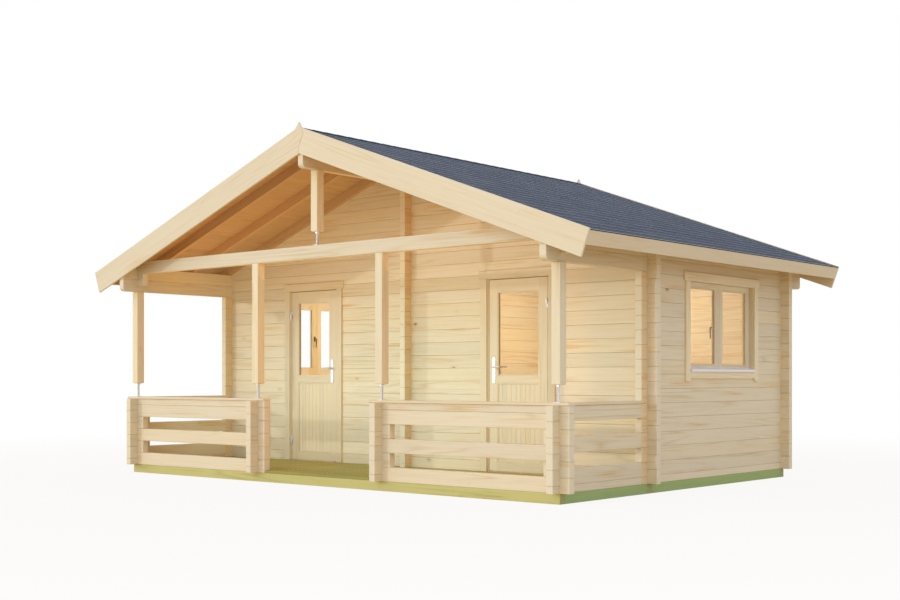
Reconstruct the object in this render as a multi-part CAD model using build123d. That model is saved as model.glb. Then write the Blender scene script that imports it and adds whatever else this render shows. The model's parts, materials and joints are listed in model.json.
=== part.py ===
"""Log cabin with two rooms behind a covered front terrace, built as separate named pieces."""

import math
import os

from build123d import *

os.makedirs("parts", exist_ok=True)

# Log work
LOG_H = 132.0           # height of one log course
LOG_T = 70.0            # thickness of a log, and so of every wall
STUB = 98.0             # length of log left past a crossing
GROOVE_W = 14.0         # height of the V between two courses
GROOVE_D = 7.0          # depth of that V
WIDTH = 5830.0          # over the outer faces of the side walls
DEPTH = 4044.0          # front railing face to rear wall face
TERRACE = 1348.0        # front railing face to front wall face
ENTRY_X = 864.0         # centre line of the log stacks beside the entry
EAVE_COURSES = 16       # full courses in the side walls
PLATE_COURSE = 14       # course on which the wall plates start
RIDGE_COURSES = 2       # courses in the ridge beam
DOOR_COURSES = 15       # courses cut by a doorway
SILL_COURSE = 7         # course on which a window opening starts
RAIL_COURSES = 5        # full courses in a railing

# Base and floors
BASE_H = 89.0           # height of the treated base frame
BEAM_PLAY = 0.5         # play between butted base beams
JOIST_W = 45.0          # width of a joist
JOIST_PITCH = 520.0     # longest spacing of the joists
FLOOR_T = 28.0          # floor and deck boards
FLOOR_GAP = 4.0         # play round the floors

# Roof
PITCH_DEG = 20.0        # roof pitch
BARGE_RISE = 8.0        # barge boards stand over the roofing
ROOFING_T = 8.0         # roofing layer
BOARD_T = 19.0          # roof boards
RAFTER_D = 95.0         # rafter depth
RAFTER_W = 45.0         # rafter width
PLATE_BEVEL = 19.0      # taken off the outer edge of a wall plate
FRONT_OVERHANG = 211.0  # barge face in front of the railing face
REAR_OVERHANG = 416.0   # barge face behind the rear wall face
EAVE_OVERHANG = 436.0   # eave past the side wall face
BARGE_W = 240.0         # barge board width
BARGE_T = 22.0          # barge board thickness
BEAK_RISE = 46.0        # point of the left barge board over the apex
BEAK_OUT = 61.0         # how far the left barge board laps past the centre
BEAK_DROP = 68.0        # widest place of that lap below the apex
BEAK_FOOT = 190.0       # end of that lap below the apex
BEAK_ROOT = 62.0        # where the point starts to rise from the barge top
BEAK_NECK = 26.0        # half of the point's width halfway up
FASCIA_H = 120.0        # eave fascia width
FASCIA_T = 20.0         # eave fascia thickness
RIDGE_GAP = 2.0         # play between the two slopes at the ridge
NOSE_R = 50.0           # rounding under the plate and ridge beam ends
RAFTER_PITCH = 532.0    # spacing of the rafters

# Terrace woodwork and steel feet
CAP_T = 25.0            # railing cap board thickness
CAP_W = 96.0            # railing cap board width
POST_W = 90.0           # square posts
POST_FOOT_H = 149.0     # steel foot under a terrace post
KING_FOOT_H = 134.0     # steel foot under the king post
FOOT_PLATE_W = 64.0     # square steel plates of a foot
FOOT_PLATE_T = 4.0      # thickness of those plates
FOOT_ROD_D = 24.0       # threaded rod
FOOT_NUT_W = 36.0       # nut across flats
FOOT_NUT_H = 18.0       # nut height

# Doors
LEAF_T = 40.0           # door leaf thickness
LEAF_W = 716.0          # door leaf width
LEAF_SET = 4.0          # leaf face behind the wall face
LEAF_GAP = 6.0          # play round a leaf
JAMB_T = 42.0           # frame thickness at the sides
HEAD_T = 47.0           # frame thickness at the head
THRESHOLD_H = 30.0      # threshold height
STOP_W = 14.0           # stop beyond the leaf edge
STOP_GAP = 6.0          # play between leaf and stop
STILE_W = 125.0         # leaf stiles
TOP_RAIL_H = 132.0      # leaf top rail
MID_RAIL_H = 84.0       # leaf middle rail
GLASS_H = 804.0         # glazed height of a leaf
BOTTOM_RAIL_H = 91.0    # leaf bottom rail
PANEL_SET = 9.0         # lower panel behind the leaf face on each side
PANE_T = 16.0           # glazing unit thickness
CASING_T = 18.0         # trim boards on the wall face
CASING_W = 78.0         # trim board width
CASING_REVEAL = 15.0    # frame left showing inside the trim
CASING_EAR = 24.0       # head trim past the side trims
HINGE_H = 92.0          # hinge barrel height
HINGE_D = 16.0          # hinge barrel diameter
HINGE_OUT = 13.0        # hinge axis in front of the leaf face
HINGE_PLAY = 0.6        # play between the two halves of a barrel
HINGE_PLATE_W = 22.0    # hinge plate width on the leaf
HINGE_WING_W = 18.0     # hinge wing width on the frame
HINGE_PLATE_T = 3.0     # hinge plate thickness
HINGE_LOW = 215.0       # lower hinge over the leaf bottom
HINGE_HIGH = 1637.0     # upper hinge over the leaf bottom
LEVER_Z = 1030.0        # lever axis over the leaf bottom
LEVER_BACKSET = 62.0    # lever axis in from the leaf edge
SPINDLE_D = 16.0        # lever spindle
SPINDLE_PLAY = 0.5      # play round the spindle
LEVER_OUT = 46.0        # lever grip in front of the leaf face
LEVER_LEN = 112.0       # lever grip length
GRIP_H = 20.0           # lever grip height
GRIP_T = 12.0           # lever grip thickness
PLATE_W = 40.0          # long handle plate width
PLATE_UP = 98.0         # plate above the lever axis
PLATE_DOWN = 164.0      # plate below the lever axis
PLATE_T = 6.0           # handle plate thickness

# Windows
WINDOW_SHIFT = 28.0     # window centre behind the middle of the side wall
WINDOW_W = 1340.0       # opening width in the log wall
FRAME_T = 40.0          # window frame boards
FRAME_IN = 12.0         # frame past the inner wall face
SASH_SET = 40.0         # sash face behind the outer wall face
SASH_T = 40.0           # sash thickness
SASH_STILE = 77.0       # sash stiles
SASH_RAIL = 62.0        # sash rails
SASH_GAP = 2.0          # play between the two sashes
WINDOW_REVEAL = 10.0    # frame left showing inside the trim
WINDOW_HEAD_H = 85.0    # head trim height
LEG_DROP = 104.0        # side trims below the frame board
APRON_H = 66.0          # lower trim height
APRON_DROP = 14.0       # lower trim top below the frame board
SILL_OUT = 32.0         # sill nose in front of the wall face
SILL_NOSE_H = 22.0      # height of the sill nose
SILL_BACK_H = 28.0      # sill height at the sash

OVERRUN = 25.0          # cutting bodies run past the faces by this
HALF_SHARE = 0.5
QUARTER_SHARE = 0.25
NOSE_STEPS = 3
ROD_SIDES = 8

# Shared positions: X to the right, Y to the back, Z up, origin under the middle of the roof
ROOF_LEN = FRONT_OVERHANG + DEPTH + REAR_OVERHANG
Y_ROOF_FRONT = -ROOF_LEN * HALF_SHARE
Y_ROOF_REAR = ROOF_LEN * HALF_SHARE
Y_RAIL = Y_ROOF_FRONT + FRONT_OVERHANG
Y_WALL = Y_RAIL + TERRACE
Y_REAR = Y_RAIL + DEPTH
Y_NOSE = Y_ROOF_FRONT + BARGE_T
Y_TAIL = Y_ROOF_REAR - BARGE_T
Y_RAIL_MID = Y_RAIL + LOG_T * HALF_SHARE
Y_WALL_MID = Y_WALL + LOG_T * HALF_SHARE
Y_REAR_MID = Y_REAR - LOG_T * HALF_SHARE
X_OUT = WIDTH * HALF_SHARE
X_IN = X_OUT - LOG_T
X_SIDE_MID = X_OUT - LOG_T * HALF_SHARE
DOOR_X = (LOG_T * HALF_SHARE + X_IN) * HALF_SHARE

PITCH = math.radians(PITCH_DEG)
BOARD_TOP = BARGE_RISE + ROOFING_T
RAFTER_TOP = BOARD_TOP + BOARD_T
RAFTER_UNDER = RAFTER_TOP + RAFTER_D


def course(count):
    """Height of a course line, in whole or part courses above the base."""
    return BASE_H + count * LOG_H


PLATE_TOP = course(EAVE_COURSES + HALF_SHARE)
PLATE_LOW = course(PLATE_COURSE + HALF_SHARE)
APEX_Z = PLATE_TOP - PLATE_BEVEL + RAFTER_UNDER / math.cos(PITCH) + X_OUT * math.tan(PITCH)
SLOPE_LEN = (X_OUT + EAVE_OVERHANG) / math.cos(PITCH)
RIDGE_SEAT = APEX_Z - RAFTER_UNDER / math.cos(PITCH)
RIDGE_COURSE = round((RIDGE_SEAT - BASE_H) / LOG_H - RIDGE_COURSES - HALF_SHARE)
RIDGE_LOW = course(RIDGE_COURSE + HALF_SHARE)
TOP_COURSE = RIDGE_COURSE + RIDGE_COURSES
RIDGE_TOP = course(TOP_COURSE + HALF_SHARE)


def block(x_pair, y_pair, z_pair):
    """Box between three pairs of limits."""
    size = [pair[1] - pair[0] for pair in (x_pair, y_pair, z_pair)]
    corner = Pos(x_pair[0], y_pair[0], z_pair[0])
    return corner * Box(*size, align=(Align.MIN, Align.MIN, Align.MIN))


def prism_along_x(points, x_low, x_high):
    """Outline of (y, z) points drawn out along X."""
    outline = Polyline(*[(x_low, y, z) for y, z in points], close=True)
    return extrude(make_face(outline), amount=x_high - x_low, dir=(1, 0, 0))


def prism_along_y(points, y_low, y_high):
    """Outline of (x, z) points drawn out along Y."""
    outline = Polyline(*[(x, y_low, z) for x, z in points], close=True)
    return extrude(make_face(outline), amount=y_high - y_low, dir=(0, 1, 0))


def rod_along_z(x, y, z_low, z_high, diameter):
    """Upright round bar."""
    bar = Cylinder(diameter * HALF_SHARE, z_high - z_low, align=(Align.CENTER, Align.CENTER, Align.MIN))
    return Pos(x, y, z_low) * bar


def rod_along_y(x, z, y_low, y_high, diameter):
    """Round bar from front to back."""
    bar = Cylinder(diameter * HALF_SHARE, y_high - y_low, align=(Align.CENTER, Align.CENTER, Align.MIN))
    return Pos(x, y_low, z) * Rot(-90, 0, 0) * bar


def faceted_rod(x, y, z_low, z_high, diameter):
    """Upright bar with flat sides."""
    outline = RegularPolygon(diameter * HALF_SHARE, ROD_SIDES, major_radius=False)
    return Pos(x, y, z_low) * extrude(outline, z_high - z_low)


def flipped(shape):
    """The same piece on the left half of the cabin."""
    return mirror(shape, about=Plane.YZ)


def save(name, *solids):
    """Write one node; several solids are like pieces that do not touch."""
    shape = solids[0] if len(solids) == 1 else Compound(children=list(solids))
    export_step(shape, f"parts/{name}.step")


def log_side(face, inward, z_low, z_high, joints):
    """One face of stacked logs from bottom to top, with a V at every joint."""
    half_v = GROOVE_W * HALF_SHARE
    side = [(face, z_low)]
    for z in joints:
        if z_low + half_v < z < z_high - half_v:
            side += [(face, z - half_v), (face + inward * GROOVE_D, z), (face, z + half_v)]
    return side + [(face, z_high)]


def log_outline(mid, z_low, z_high, joints, grooved):
    """Cross-section of stacked logs; grooved tells which of the two faces shows its joints."""
    half = LOG_T * HALF_SHARE
    low = log_side(mid - half, 1, z_low, z_high, joints if grooved[0] else [])
    high = log_side(mid + half, -1, z_low, z_high, joints if grooved[1] else [])
    return high + low[::-1]


BOTH = (True, True)
LOW_FACE = (True, False)
HIGH_FACE = (False, True)
PLAIN = (False, False)
JOINTS = range(TOP_COURSE + 2)


def logs_along_x(x_low, x_high, y_mid, z_low, z_high, grooved=BOTH):
    """Logs from left to right; their courses start with a full log."""
    outline = log_outline(y_mid, z_low, z_high, [course(k) for k in JOINTS], grooved)
    return prism_along_x(outline, x_low, x_high)


def logs_along_y(y_low, y_high, x_mid, z_low, z_high, grooved=BOTH):
    """Logs from front to back; their courses start with half a log."""
    outline = log_outline(x_mid, z_low, z_high, [course(k + HALF_SHARE) for k in JOINTS], grooved)
    return prism_along_y(outline, y_low, y_high)


def notches_for_x(x_mid, y_mid, first, last):
    """Seats cut in logs along Y for the necks of the logs crossing along X."""
    half = LOG_T * HALF_SHARE
    wide = half + OVERRUN
    seats = []
    for k in range(first, last + 1):
        z_pair = (course(k + QUARTER_SHARE), course(k + 1 - QUARTER_SHARE))
        seats.append(block((x_mid - wide, x_mid + wide), (y_mid - half, y_mid + half), z_pair))
    return seats


def notches_for_y(x_mid, y_mid, first, last):
    """Seats cut in logs along X for the necks of the logs crossing along Y."""
    half = LOG_T * HALF_SHARE
    wide = half + OVERRUN
    seats = []
    for k in range(first, last + 1):
        z_pair = (course(k - QUARTER_SHARE), course(k + QUARTER_SHARE))
        seats.append(block((x_mid - half, x_mid + half), (y_mid - wide, y_mid + wide), z_pair))
    return seats


def slope_point(along, depth):
    """Point on the right slope, along it from the apex and square below the barge top."""
    x = along * math.cos(PITCH) - depth * math.sin(PITCH)
    z = APEX_Z - along * math.sin(PITCH) - depth * math.cos(PITCH)
    return (x, z)


def slope_height(x, depth):
    """Height of a plane lying the given depth below the barge top."""
    return APEX_Z - depth / math.cos(PITCH) - abs(x) * math.tan(PITCH)


def slope_start(x, depth):
    """Point straight above or below the ridge at the given X."""
    return (x, slope_height(x, depth))


def under_roof(depth):
    """Everything below both roof planes at the given depth."""
    reach = WIDTH
    points = [
        (-reach, -OVERRUN),
        (-reach, slope_height(reach, depth)),
        (0, slope_height(0, depth)),
        (reach, slope_height(reach, depth)),
        (reach, -OVERRUN),
    ]
    return prism_along_y(points, Y_ROOF_FRONT - OVERRUN, Y_ROOF_REAR + OVERRUN)


def slope_slab(top, under, end, y_low, y_high):
    """Flat layer of the right slope between two depths."""
    start = RIDGE_GAP * HALF_SHARE
    points = [slope_start(start, top), slope_point(end, top), slope_point(end, under), slope_start(start, under)]
    return prism_along_y(points, y_low, y_high)


def nose_cut(y_end, inward, z_low, x_low, x_high):
    """Body that rounds the lower corner of a beam end."""
    centre_y = y_end + inward * NOSE_R
    centre_z = z_low + NOSE_R
    points = [(y_end - inward * OVERRUN, z_low - OVERRUN), (centre_y, z_low - OVERRUN)]
    for step in range(NOSE_STEPS + 1):
        turn = math.pi * HALF_SHARE * step / NOSE_STEPS
        points.append((centre_y - inward * NOSE_R * math.sin(turn), centre_z - NOSE_R * math.cos(turn)))
    points.append((y_end - inward * OVERRUN, centre_z))
    return prism_along_x(points, x_low, x_high)


# Base frame of treated beams, flush with the log faces above
def joist_lines(low, high):
    """Inner lines that split a span into equal bays."""
    bays = math.ceil((high - low) / JOIST_PITCH)
    return [low + (high - low) * k / bays for k in range(1, bays)]


def base_beams():
    """Cross beams, side and middle beams butted between them, and joists square to the floor boards."""
    z_pair = (0, BASE_H)
    cross_lines = (Y_RAIL, Y_WALL, Y_REAR - LOG_T)
    beams = [block((-X_OUT, X_OUT), (y, y + LOG_T), z_pair) for y in cross_lines]
    half = LOG_T * HALF_SHARE
    joist = JOIST_W * HALF_SHARE
    x_pair = (half + BEAM_PLAY, X_IN - BEAM_PLAY)
    terrace, rooms = (
        (front + LOG_T + BEAM_PLAY, back - BEAM_PLAY) for front, back in zip(cross_lines, cross_lines[1:])
    )
    for y_pair in (terrace, rooms):
        for x in (-X_SIDE_MID, 0, X_SIDE_MID):
            beams.append(block((x - half, x + half), y_pair, z_pair))
    right = [block((x - joist, x + joist), terrace, z_pair) for x in joist_lines(*x_pair)]
    right += [block(x_pair, (y - joist, y + joist), z_pair) for y in joist_lines(*rooms)]
    return beams + right + [flipped(beam) for beam in right]


save("foundation_frame", *base_beams())

FLOOR_TOP = BASE_H + FLOOR_T
DOOR_HALF = LEAF_W * HALF_SHARE + LEAF_GAP + JAMB_T
CROSS_REACH = LOG_T * HALF_SHARE + STUB


def terrace_deck():
    """Deck behind the railings, brought forward to the base face at the entry."""
    z_pair = (BASE_H, FLOOR_TOP)
    edge = X_IN - FLOOR_GAP
    deck = block((-edge, edge), (Y_RAIL + LOG_T + FLOOR_GAP, Y_WALL - FLOOR_GAP), z_pair)
    entry = ENTRY_X - CROSS_REACH - FLOOR_GAP
    deck += block((-entry, entry), (Y_RAIL, Y_RAIL + LOG_T + STUB), z_pair)
    high = (BASE_H - OVERRUN, FLOOR_TOP + OVERRUN)
    reach = Y_RAIL + LOG_T + STUB + FLOOR_GAP
    half = LOG_T * HALF_SHARE + FLOOR_GAP
    for x in (-ENTRY_X, ENTRY_X):
        deck -= block((x - half, x + half), (Y_RAIL - OVERRUN, reach), high)
    deck -= block((-half, half), (Y_WALL - STUB - FLOOR_GAP, Y_WALL + OVERRUN), high)
    return deck


save("terrace_deck", terrace_deck())


def room_floor():
    """Floor of the right room inside its log walls and clear of the log ends."""
    x_pair = (LOG_T * HALF_SHARE + FLOOR_GAP, X_IN - FLOOR_GAP)
    y_pair = (Y_WALL + LOG_T + FLOOR_GAP, Y_REAR - LOG_T - FLOOR_GAP)
    return block(x_pair, y_pair, (BASE_H, FLOOR_TOP))


save("room_floors", room_floor(), flipped(room_floor()))

# Log walls
UNDER_BOARDS = under_roof(RAFTER_TOP)
UNDER_RAFTERS = under_roof(RAFTER_UNDER)
X_STUB = X_OUT + STUB


def front_crossings(last):
    """Seats for the three walls that cross the front wall."""
    seats = []
    for x, top in ((-X_SIDE_MID, EAVE_COURSES), (0, TOP_COURSE), (X_SIDE_MID, EAVE_COURSES)):
        seats += notches_for_y(x, Y_WALL_MID, 0, min(top, last))
    return seats


def front_pier(x_low, x_high):
    """Part of the front wall beside a doorway."""
    pier = logs_along_x(x_low, x_high, Y_WALL_MID, BASE_H, course(DOOR_COURSES), LOW_FACE)
    return pier - front_crossings(DOOR_COURSES)


save("front_wall_right", front_pier(DOOR_X + DOOR_HALF, X_STUB))
save("front_wall_left", front_pier(-X_STUB, -DOOR_X - DOOR_HALF))
save("front_wall_middle", front_pier(-DOOR_X + DOOR_HALF, DOOR_X - DOOR_HALF))

GABLE = logs_along_x(-X_STUB, X_STUB, Y_WALL_MID, course(DOOR_COURSES), APEX_Z, LOW_FACE)
save("front_gable", (GABLE & UNDER_BOARDS) - front_crossings(TOP_COURSE))


def rear_wall():
    """Whole rear wall with its gable."""
    wall = logs_along_x(-X_STUB, X_STUB, Y_REAR_MID, BASE_H, APEX_Z, HIGH_FACE) & UNDER_BOARDS
    for x, top in ((-X_SIDE_MID, EAVE_COURSES), (0, TOP_COURSE), (X_SIDE_MID, EAVE_COURSES)):
        wall -= notches_for_y(x, Y_REAR_MID, 0, top)
    return wall


save("rear_wall", rear_wall())

WINDOW_MID = (Y_WALL + Y_REAR) * HALF_SHARE + WINDOW_SHIFT
WINDOW_HALF = WINDOW_W * HALF_SHARE
WINDOW_LOW = course(SILL_COURSE + HALF_SHARE)


def side_wall():
    """Right wall with its window opening; its two top logs run out as the wall plate."""
    wall = logs_along_y(Y_WALL - STUB, Y_REAR + STUB, X_SIDE_MID, BASE_H, PLATE_TOP, HIGH_FACE)
    wall += logs_along_y(Y_NOSE, Y_WALL - STUB, X_SIDE_MID, PLATE_LOW, PLATE_TOP, HIGH_FACE)
    wall += logs_along_y(Y_REAR + STUB, Y_TAIL, X_SIDE_MID, PLATE_LOW, PLATE_TOP, HIGH_FACE)
    wall = wall & UNDER_RAFTERS
    x_pair = (X_IN - OVERRUN, X_OUT + OVERRUN)
    wall -= notches_for_x(X_SIDE_MID, Y_WALL_MID, 0, EAVE_COURSES)
    wall -= notches_for_x(X_SIDE_MID, Y_REAR_MID, 0, EAVE_COURSES)
    wall -= notches_for_x(X_SIDE_MID, Y_RAIL_MID, EAVE_COURSES - 1, EAVE_COURSES)
    wall -= nose_cut(Y_NOSE, 1, PLATE_LOW, *x_pair)
    wall -= nose_cut(Y_TAIL, -1, PLATE_LOW, *x_pair)
    y_pair = (WINDOW_MID - WINDOW_HALF, WINDOW_MID + WINDOW_HALF)
    return wall - block(x_pair, y_pair, (WINDOW_LOW, PLATE_LOW))


SIDE_WALL = side_wall()
save("right_wall", SIDE_WALL)
save("left_wall", flipped(SIDE_WALL))


def partition_wall():
    """Log wall between the rooms, its ends showing through the front and rear walls."""
    wall = logs_along_y(Y_WALL_MID, Y_REAR_MID, 0, BASE_H, RIDGE_LOW, PLAIN)
    wall += logs_along_y(Y_WALL - STUB, Y_WALL_MID, 0, BASE_H, RIDGE_LOW)
    wall += logs_along_y(Y_REAR_MID, Y_REAR + STUB, 0, BASE_H, RIDGE_LOW, PLAIN)
    wall -= notches_for_x(0, Y_WALL_MID, 0, RIDGE_COURSE)
    return wall - notches_for_x(0, Y_REAR_MID, 0, RIDGE_COURSE)


save("partition_wall", partition_wall())


def ridge_beam():
    """Two logs along the ridge, bevelled to carry the rafters."""
    half = LOG_T * HALF_SHARE
    beam = logs_along_y(Y_NOSE, Y_TAIL, 0, RIDGE_LOW, RIDGE_TOP) & UNDER_RAFTERS
    beam -= notches_for_x(0, Y_WALL_MID, RIDGE_COURSE, TOP_COURSE)
    beam -= notches_for_x(0, Y_REAR_MID, RIDGE_COURSE, TOP_COURSE)
    beam -= nose_cut(Y_NOSE, 1, RIDGE_LOW, -half - OVERRUN, half + OVERRUN)
    return beam - nose_cut(Y_TAIL, -1, RIDGE_LOW, -half - OVERRUN, half + OVERRUN)


save("ridge_beam", ridge_beam())

# Terrace railings of spaced logs, closed with short logs at every crossing
RAIL_TOP = course(RAIL_COURSES + HALF_SHARE)
CAP_TOP = RAIL_TOP + CAP_T


def front_railing():
    """Right half of the front railing."""
    rail = logs_along_x(ENTRY_X - CROSS_REACH, X_STUB, Y_RAIL_MID, BASE_H, RAIL_TOP, LOW_FACE)
    gap_x = (ENTRY_X + CROSS_REACH, X_IN - STUB)
    for k in range(1, RAIL_COURSES, 2):
        rail -= block(gap_x, (Y_RAIL - OVERRUN, Y_RAIL + LOG_T + OVERRUN), (course(k), course(k + 1)))
    for x in (ENTRY_X, X_SIDE_MID):
        rail -= notches_for_y(x, Y_RAIL_MID, 0, RAIL_COURSES)
    return rail


def side_railing():
    """Right side railing from the front corner to the log ends of the side wall."""
    rail = logs_along_y(Y_RAIL - STUB, Y_WALL - STUB, X_SIDE_MID, BASE_H, RAIL_TOP, HIGH_FACE)
    gap_y = (Y_RAIL + LOG_T + STUB, Y_WALL - STUB + OVERRUN)
    for k in range(1, RAIL_COURSES - 1, 2):
        z_pair = (course(k + HALF_SHARE), course(k + 1 + HALF_SHARE))
        rail -= block((X_IN - OVERRUN, X_OUT + OVERRUN), gap_y, z_pair)
    return rail - notches_for_x(X_SIDE_MID, Y_RAIL_MID, 0, RAIL_COURSES)


def entry_stack():
    """Short logs crossing the inner end of the right front railing."""
    stack = logs_along_y(Y_RAIL - STUB, Y_RAIL + LOG_T + STUB, ENTRY_X, BASE_H, RAIL_TOP)
    return stack - notches_for_x(ENTRY_X, Y_RAIL_MID, 0, RAIL_COURSES)


FRONT_RAILING = front_railing()
SIDE_RAILING = side_railing()
ENTRY_STACK = entry_stack()
save("front_right_railing", FRONT_RAILING)
save("front_left_railing", flipped(FRONT_RAILING))
save("right_side_railing", SIDE_RAILING)
save("left_side_railing", flipped(SIDE_RAILING))
save("entry_stacks", ENTRY_STACK, flipped(ENTRY_STACK))

CAP_HALF = CAP_W * HALF_SHARE
CAP_Z = (RAIL_TOP, CAP_TOP)
FRONT_CAP = block((ENTRY_X - CROSS_REACH, X_STUB), (Y_RAIL_MID - CAP_HALF, Y_RAIL_MID + CAP_HALF), CAP_Z)
SIDE_CAP = block(
    (X_SIDE_MID - CAP_HALF, X_SIDE_MID + CAP_HALF),
    (Y_RAIL_MID + CAP_HALF + RIDGE_GAP, Y_WALL - STUB - RIDGE_GAP),
    CAP_Z,
)
save("railing_caps", FRONT_CAP, SIDE_CAP, flipped(FRONT_CAP), flipped(SIDE_CAP))

# Posts on adjustable steel feet, tie beam and king post
POST_LOW = CAP_TOP + POST_FOOT_H
TIE_LOW = course(EAVE_COURSES)
TIE_TOP = course(EAVE_COURSES + 1)
KING_LOW = TIE_TOP + KING_FOOT_H


def square_post(x, y, z_low, z_high):
    """Square post about an upright centre line."""
    half = POST_W * HALF_SHARE
    return block((x - half, x + half), (y - half, y + half), (z_low, z_high))


def steel_foot(x, y, z_low, z_high):
    """Two plates on a threaded rod with a nut."""
    half = FOOT_PLATE_W * HALF_SHARE
    nut = FOOT_NUT_W * HALF_SHARE
    x_pair = (x - half, x + half)
    y_pair = (y - half, y + half)
    nut_top = z_high - FOOT_PLATE_T
    foot = faceted_rod(x, y, z_low, z_high, FOOT_ROD_D)
    foot += block(x_pair, y_pair, (z_low, z_low + FOOT_PLATE_T))
    foot += block(x_pair, y_pair, (nut_top, z_high))
    return foot + block((x - nut, x + nut), (y - nut, y + nut), (nut_top - FOOT_NUT_H, nut_top))


CORNER_POST = square_post(X_SIDE_MID, Y_RAIL_MID, POST_LOW, PLATE_LOW)
ENTRY_POST = square_post(ENTRY_X, Y_RAIL_MID, POST_LOW, TIE_LOW)
save("porch_posts", CORNER_POST, ENTRY_POST, flipped(ENTRY_POST), flipped(CORNER_POST))
save(
    "post_feet",
    *[steel_foot(x, Y_RAIL_MID, CAP_TOP, POST_LOW) for x in (-X_SIDE_MID, -ENTRY_X, ENTRY_X, X_SIDE_MID)],
    steel_foot(0, Y_RAIL_MID, TIE_TOP, KING_LOW),
)


def tie_beam():
    """Log across the terrace front on short logs, both crossing the wall plates."""
    beam = logs_along_x(-X_STUB, X_STUB, Y_RAIL_MID, TIE_LOW, TIE_TOP)
    for x_low, x_high in ((-X_STUB, STUB - X_IN), (X_IN - STUB, X_STUB)):
        beam += logs_along_x(x_low, x_high, Y_RAIL_MID, TIE_LOW - LOG_H, TIE_TOP)
    beam = beam & UNDER_BOARDS
    for x in (-X_SIDE_MID, X_SIDE_MID):
        beam -= notches_for_y(x, Y_RAIL_MID, EAVE_COURSES - 1, EAVE_COURSES)
    return beam


save("tie_beam", tie_beam())
save("king_post", square_post(0, Y_RAIL_MID, KING_LOW, RIDGE_LOW))

# Roof
def rafter_lines():
    """Y centre lines of the rafters: over the terrace, over the rooms and behind the rear wall."""
    half = RAFTER_W * HALF_SHARE
    at_wall = Y_WALL - half
    count = math.floor((at_wall - half - Y_NOSE) / RAFTER_PITCH)
    lines = [at_wall - k * RAFTER_PITCH for k in range(count + 1)]
    bay_low = Y_WALL + LOG_T
    bay_high = Y_REAR - LOG_T
    bays = math.ceil((bay_high - bay_low) / RAFTER_PITCH)
    step = (bay_high - bay_low) / bays
    lines += [bay_low + k * step for k in range(1, bays)]
    return lines + [Y_REAR + half]


BOARD_END = SLOPE_LEN - FASCIA_T


def rafters():
    """Rafters of the right slope, from the ridge to the fascia."""
    half = RAFTER_W * HALF_SHARE
    return [slope_slab(RAFTER_TOP, RAFTER_UNDER, BOARD_END, y - half, y + half) for y in rafter_lines()]


RAFTERS = rafters()
save("right_rafters", *RAFTERS)
save("left_rafters", *[flipped(rafter) for rafter in RAFTERS])

ROOF_BOARDS = slope_slab(BOARD_TOP, RAFTER_TOP, BOARD_END, Y_NOSE, Y_TAIL)
save("right_roof_boards", ROOF_BOARDS)
save("left_roof_boards", flipped(ROOF_BOARDS))
ROOFING = slope_slab(BARGE_RISE, BOARD_TOP, SLOPE_LEN, Y_NOSE, Y_TAIL)
save("right_roofing", ROOFING)
save("left_roofing", flipped(ROOFING))


def fascia():
    """Right eave board, square to the slope."""
    points = [
        slope_point(BOARD_END, BOARD_TOP),
        slope_point(SLOPE_LEN, BOARD_TOP),
        slope_point(SLOPE_LEN, BOARD_TOP + FASCIA_H),
        slope_point(BOARD_END, BOARD_TOP + FASCIA_H),
    ]
    return prism_along_y(points, Y_NOSE, Y_TAIL)


save("eave_fascias", fascia(), flipped(fascia()))


def barge_pair(y_low):
    """Two barge boards; the left one laps past the centre with a pointed beak."""
    tip = (0, APEX_Z + BEAK_RISE)
    lap = [(BEAK_OUT, APEX_Z - BEAK_DROP), (0, APEX_Z - BEAK_FOOT), slope_start(0, BARGE_W)]
    ends = [slope_point(SLOPE_LEN, BARGE_W), slope_point(SLOPE_LEN, 0)]
    fall = (BEAK_RISE + BEAK_DROP) / BEAK_OUT
    meet = BEAK_RISE / (fall - math.tan(PITCH))
    neck = (-BEAK_NECK, APEX_Z + BEAK_RISE * QUARTER_SHARE)
    left = [(-x, z) for x, z in ends] + [slope_start(-BEAK_ROOT, 0), neck, tip] + lap
    right = [(x + RIDGE_GAP, z) for x, z in [slope_start(meet, 0)] + lap] + ends
    y_high = y_low + BARGE_T
    return prism_along_y(right, y_low, y_high), prism_along_y(left, y_low, y_high)


save("front_barge_boards", *barge_pair(Y_ROOF_FRONT))
save("rear_barge_boards", *barge_pair(Y_TAIL))

# Doors, drawn for the right room
LEAF_HALF = LEAF_W * HALF_SHARE
LEAF_LOW = BASE_H + THRESHOLD_H + LEAF_GAP
HEAD_LOW = course(DOOR_COURSES) - HEAD_T
LEAF_TOP = HEAD_LOW - LEAF_GAP
LEAF_FRONT = Y_WALL + LEAF_SET
LEAF_BACK = LEAF_FRONT + LEAF_T
FRAME_IN_HALF = LEAF_HALF + LEAF_GAP
HINGE_X = DOOR_X + LEAF_HALF
HINGE_Y = LEAF_FRONT - HINGE_OUT
LEVER_X = DOOR_X - LEAF_HALF + LEVER_BACKSET
LEVER_AXIS_Z = LEAF_LOW + LEVER_Z


def door_frame():
    """Frame with threshold and a stop behind the leaf."""
    y_pair = (Y_WALL, Y_WALL + LOG_T)
    frame = block((DOOR_X - DOOR_HALF, DOOR_X + DOOR_HALF), y_pair, (BASE_H, course(DOOR_COURSES)))
    clear = (DOOR_X - FRAME_IN_HALF, DOOR_X + FRAME_IN_HALF)
    frame -= block(clear, (Y_WALL - OVERRUN, LEAF_BACK + STOP_GAP), (BASE_H + THRESHOLD_H, HEAD_LOW))
    inner = (DOOR_X - LEAF_HALF + STOP_W, DOOR_X + LEAF_HALF - STOP_W)
    z_pair = (BASE_H + THRESHOLD_H, LEAF_TOP - STOP_W)
    return frame - block(inner, (Y_WALL - OVERRUN, Y_WALL + LOG_T + OVERRUN), z_pair)


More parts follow.
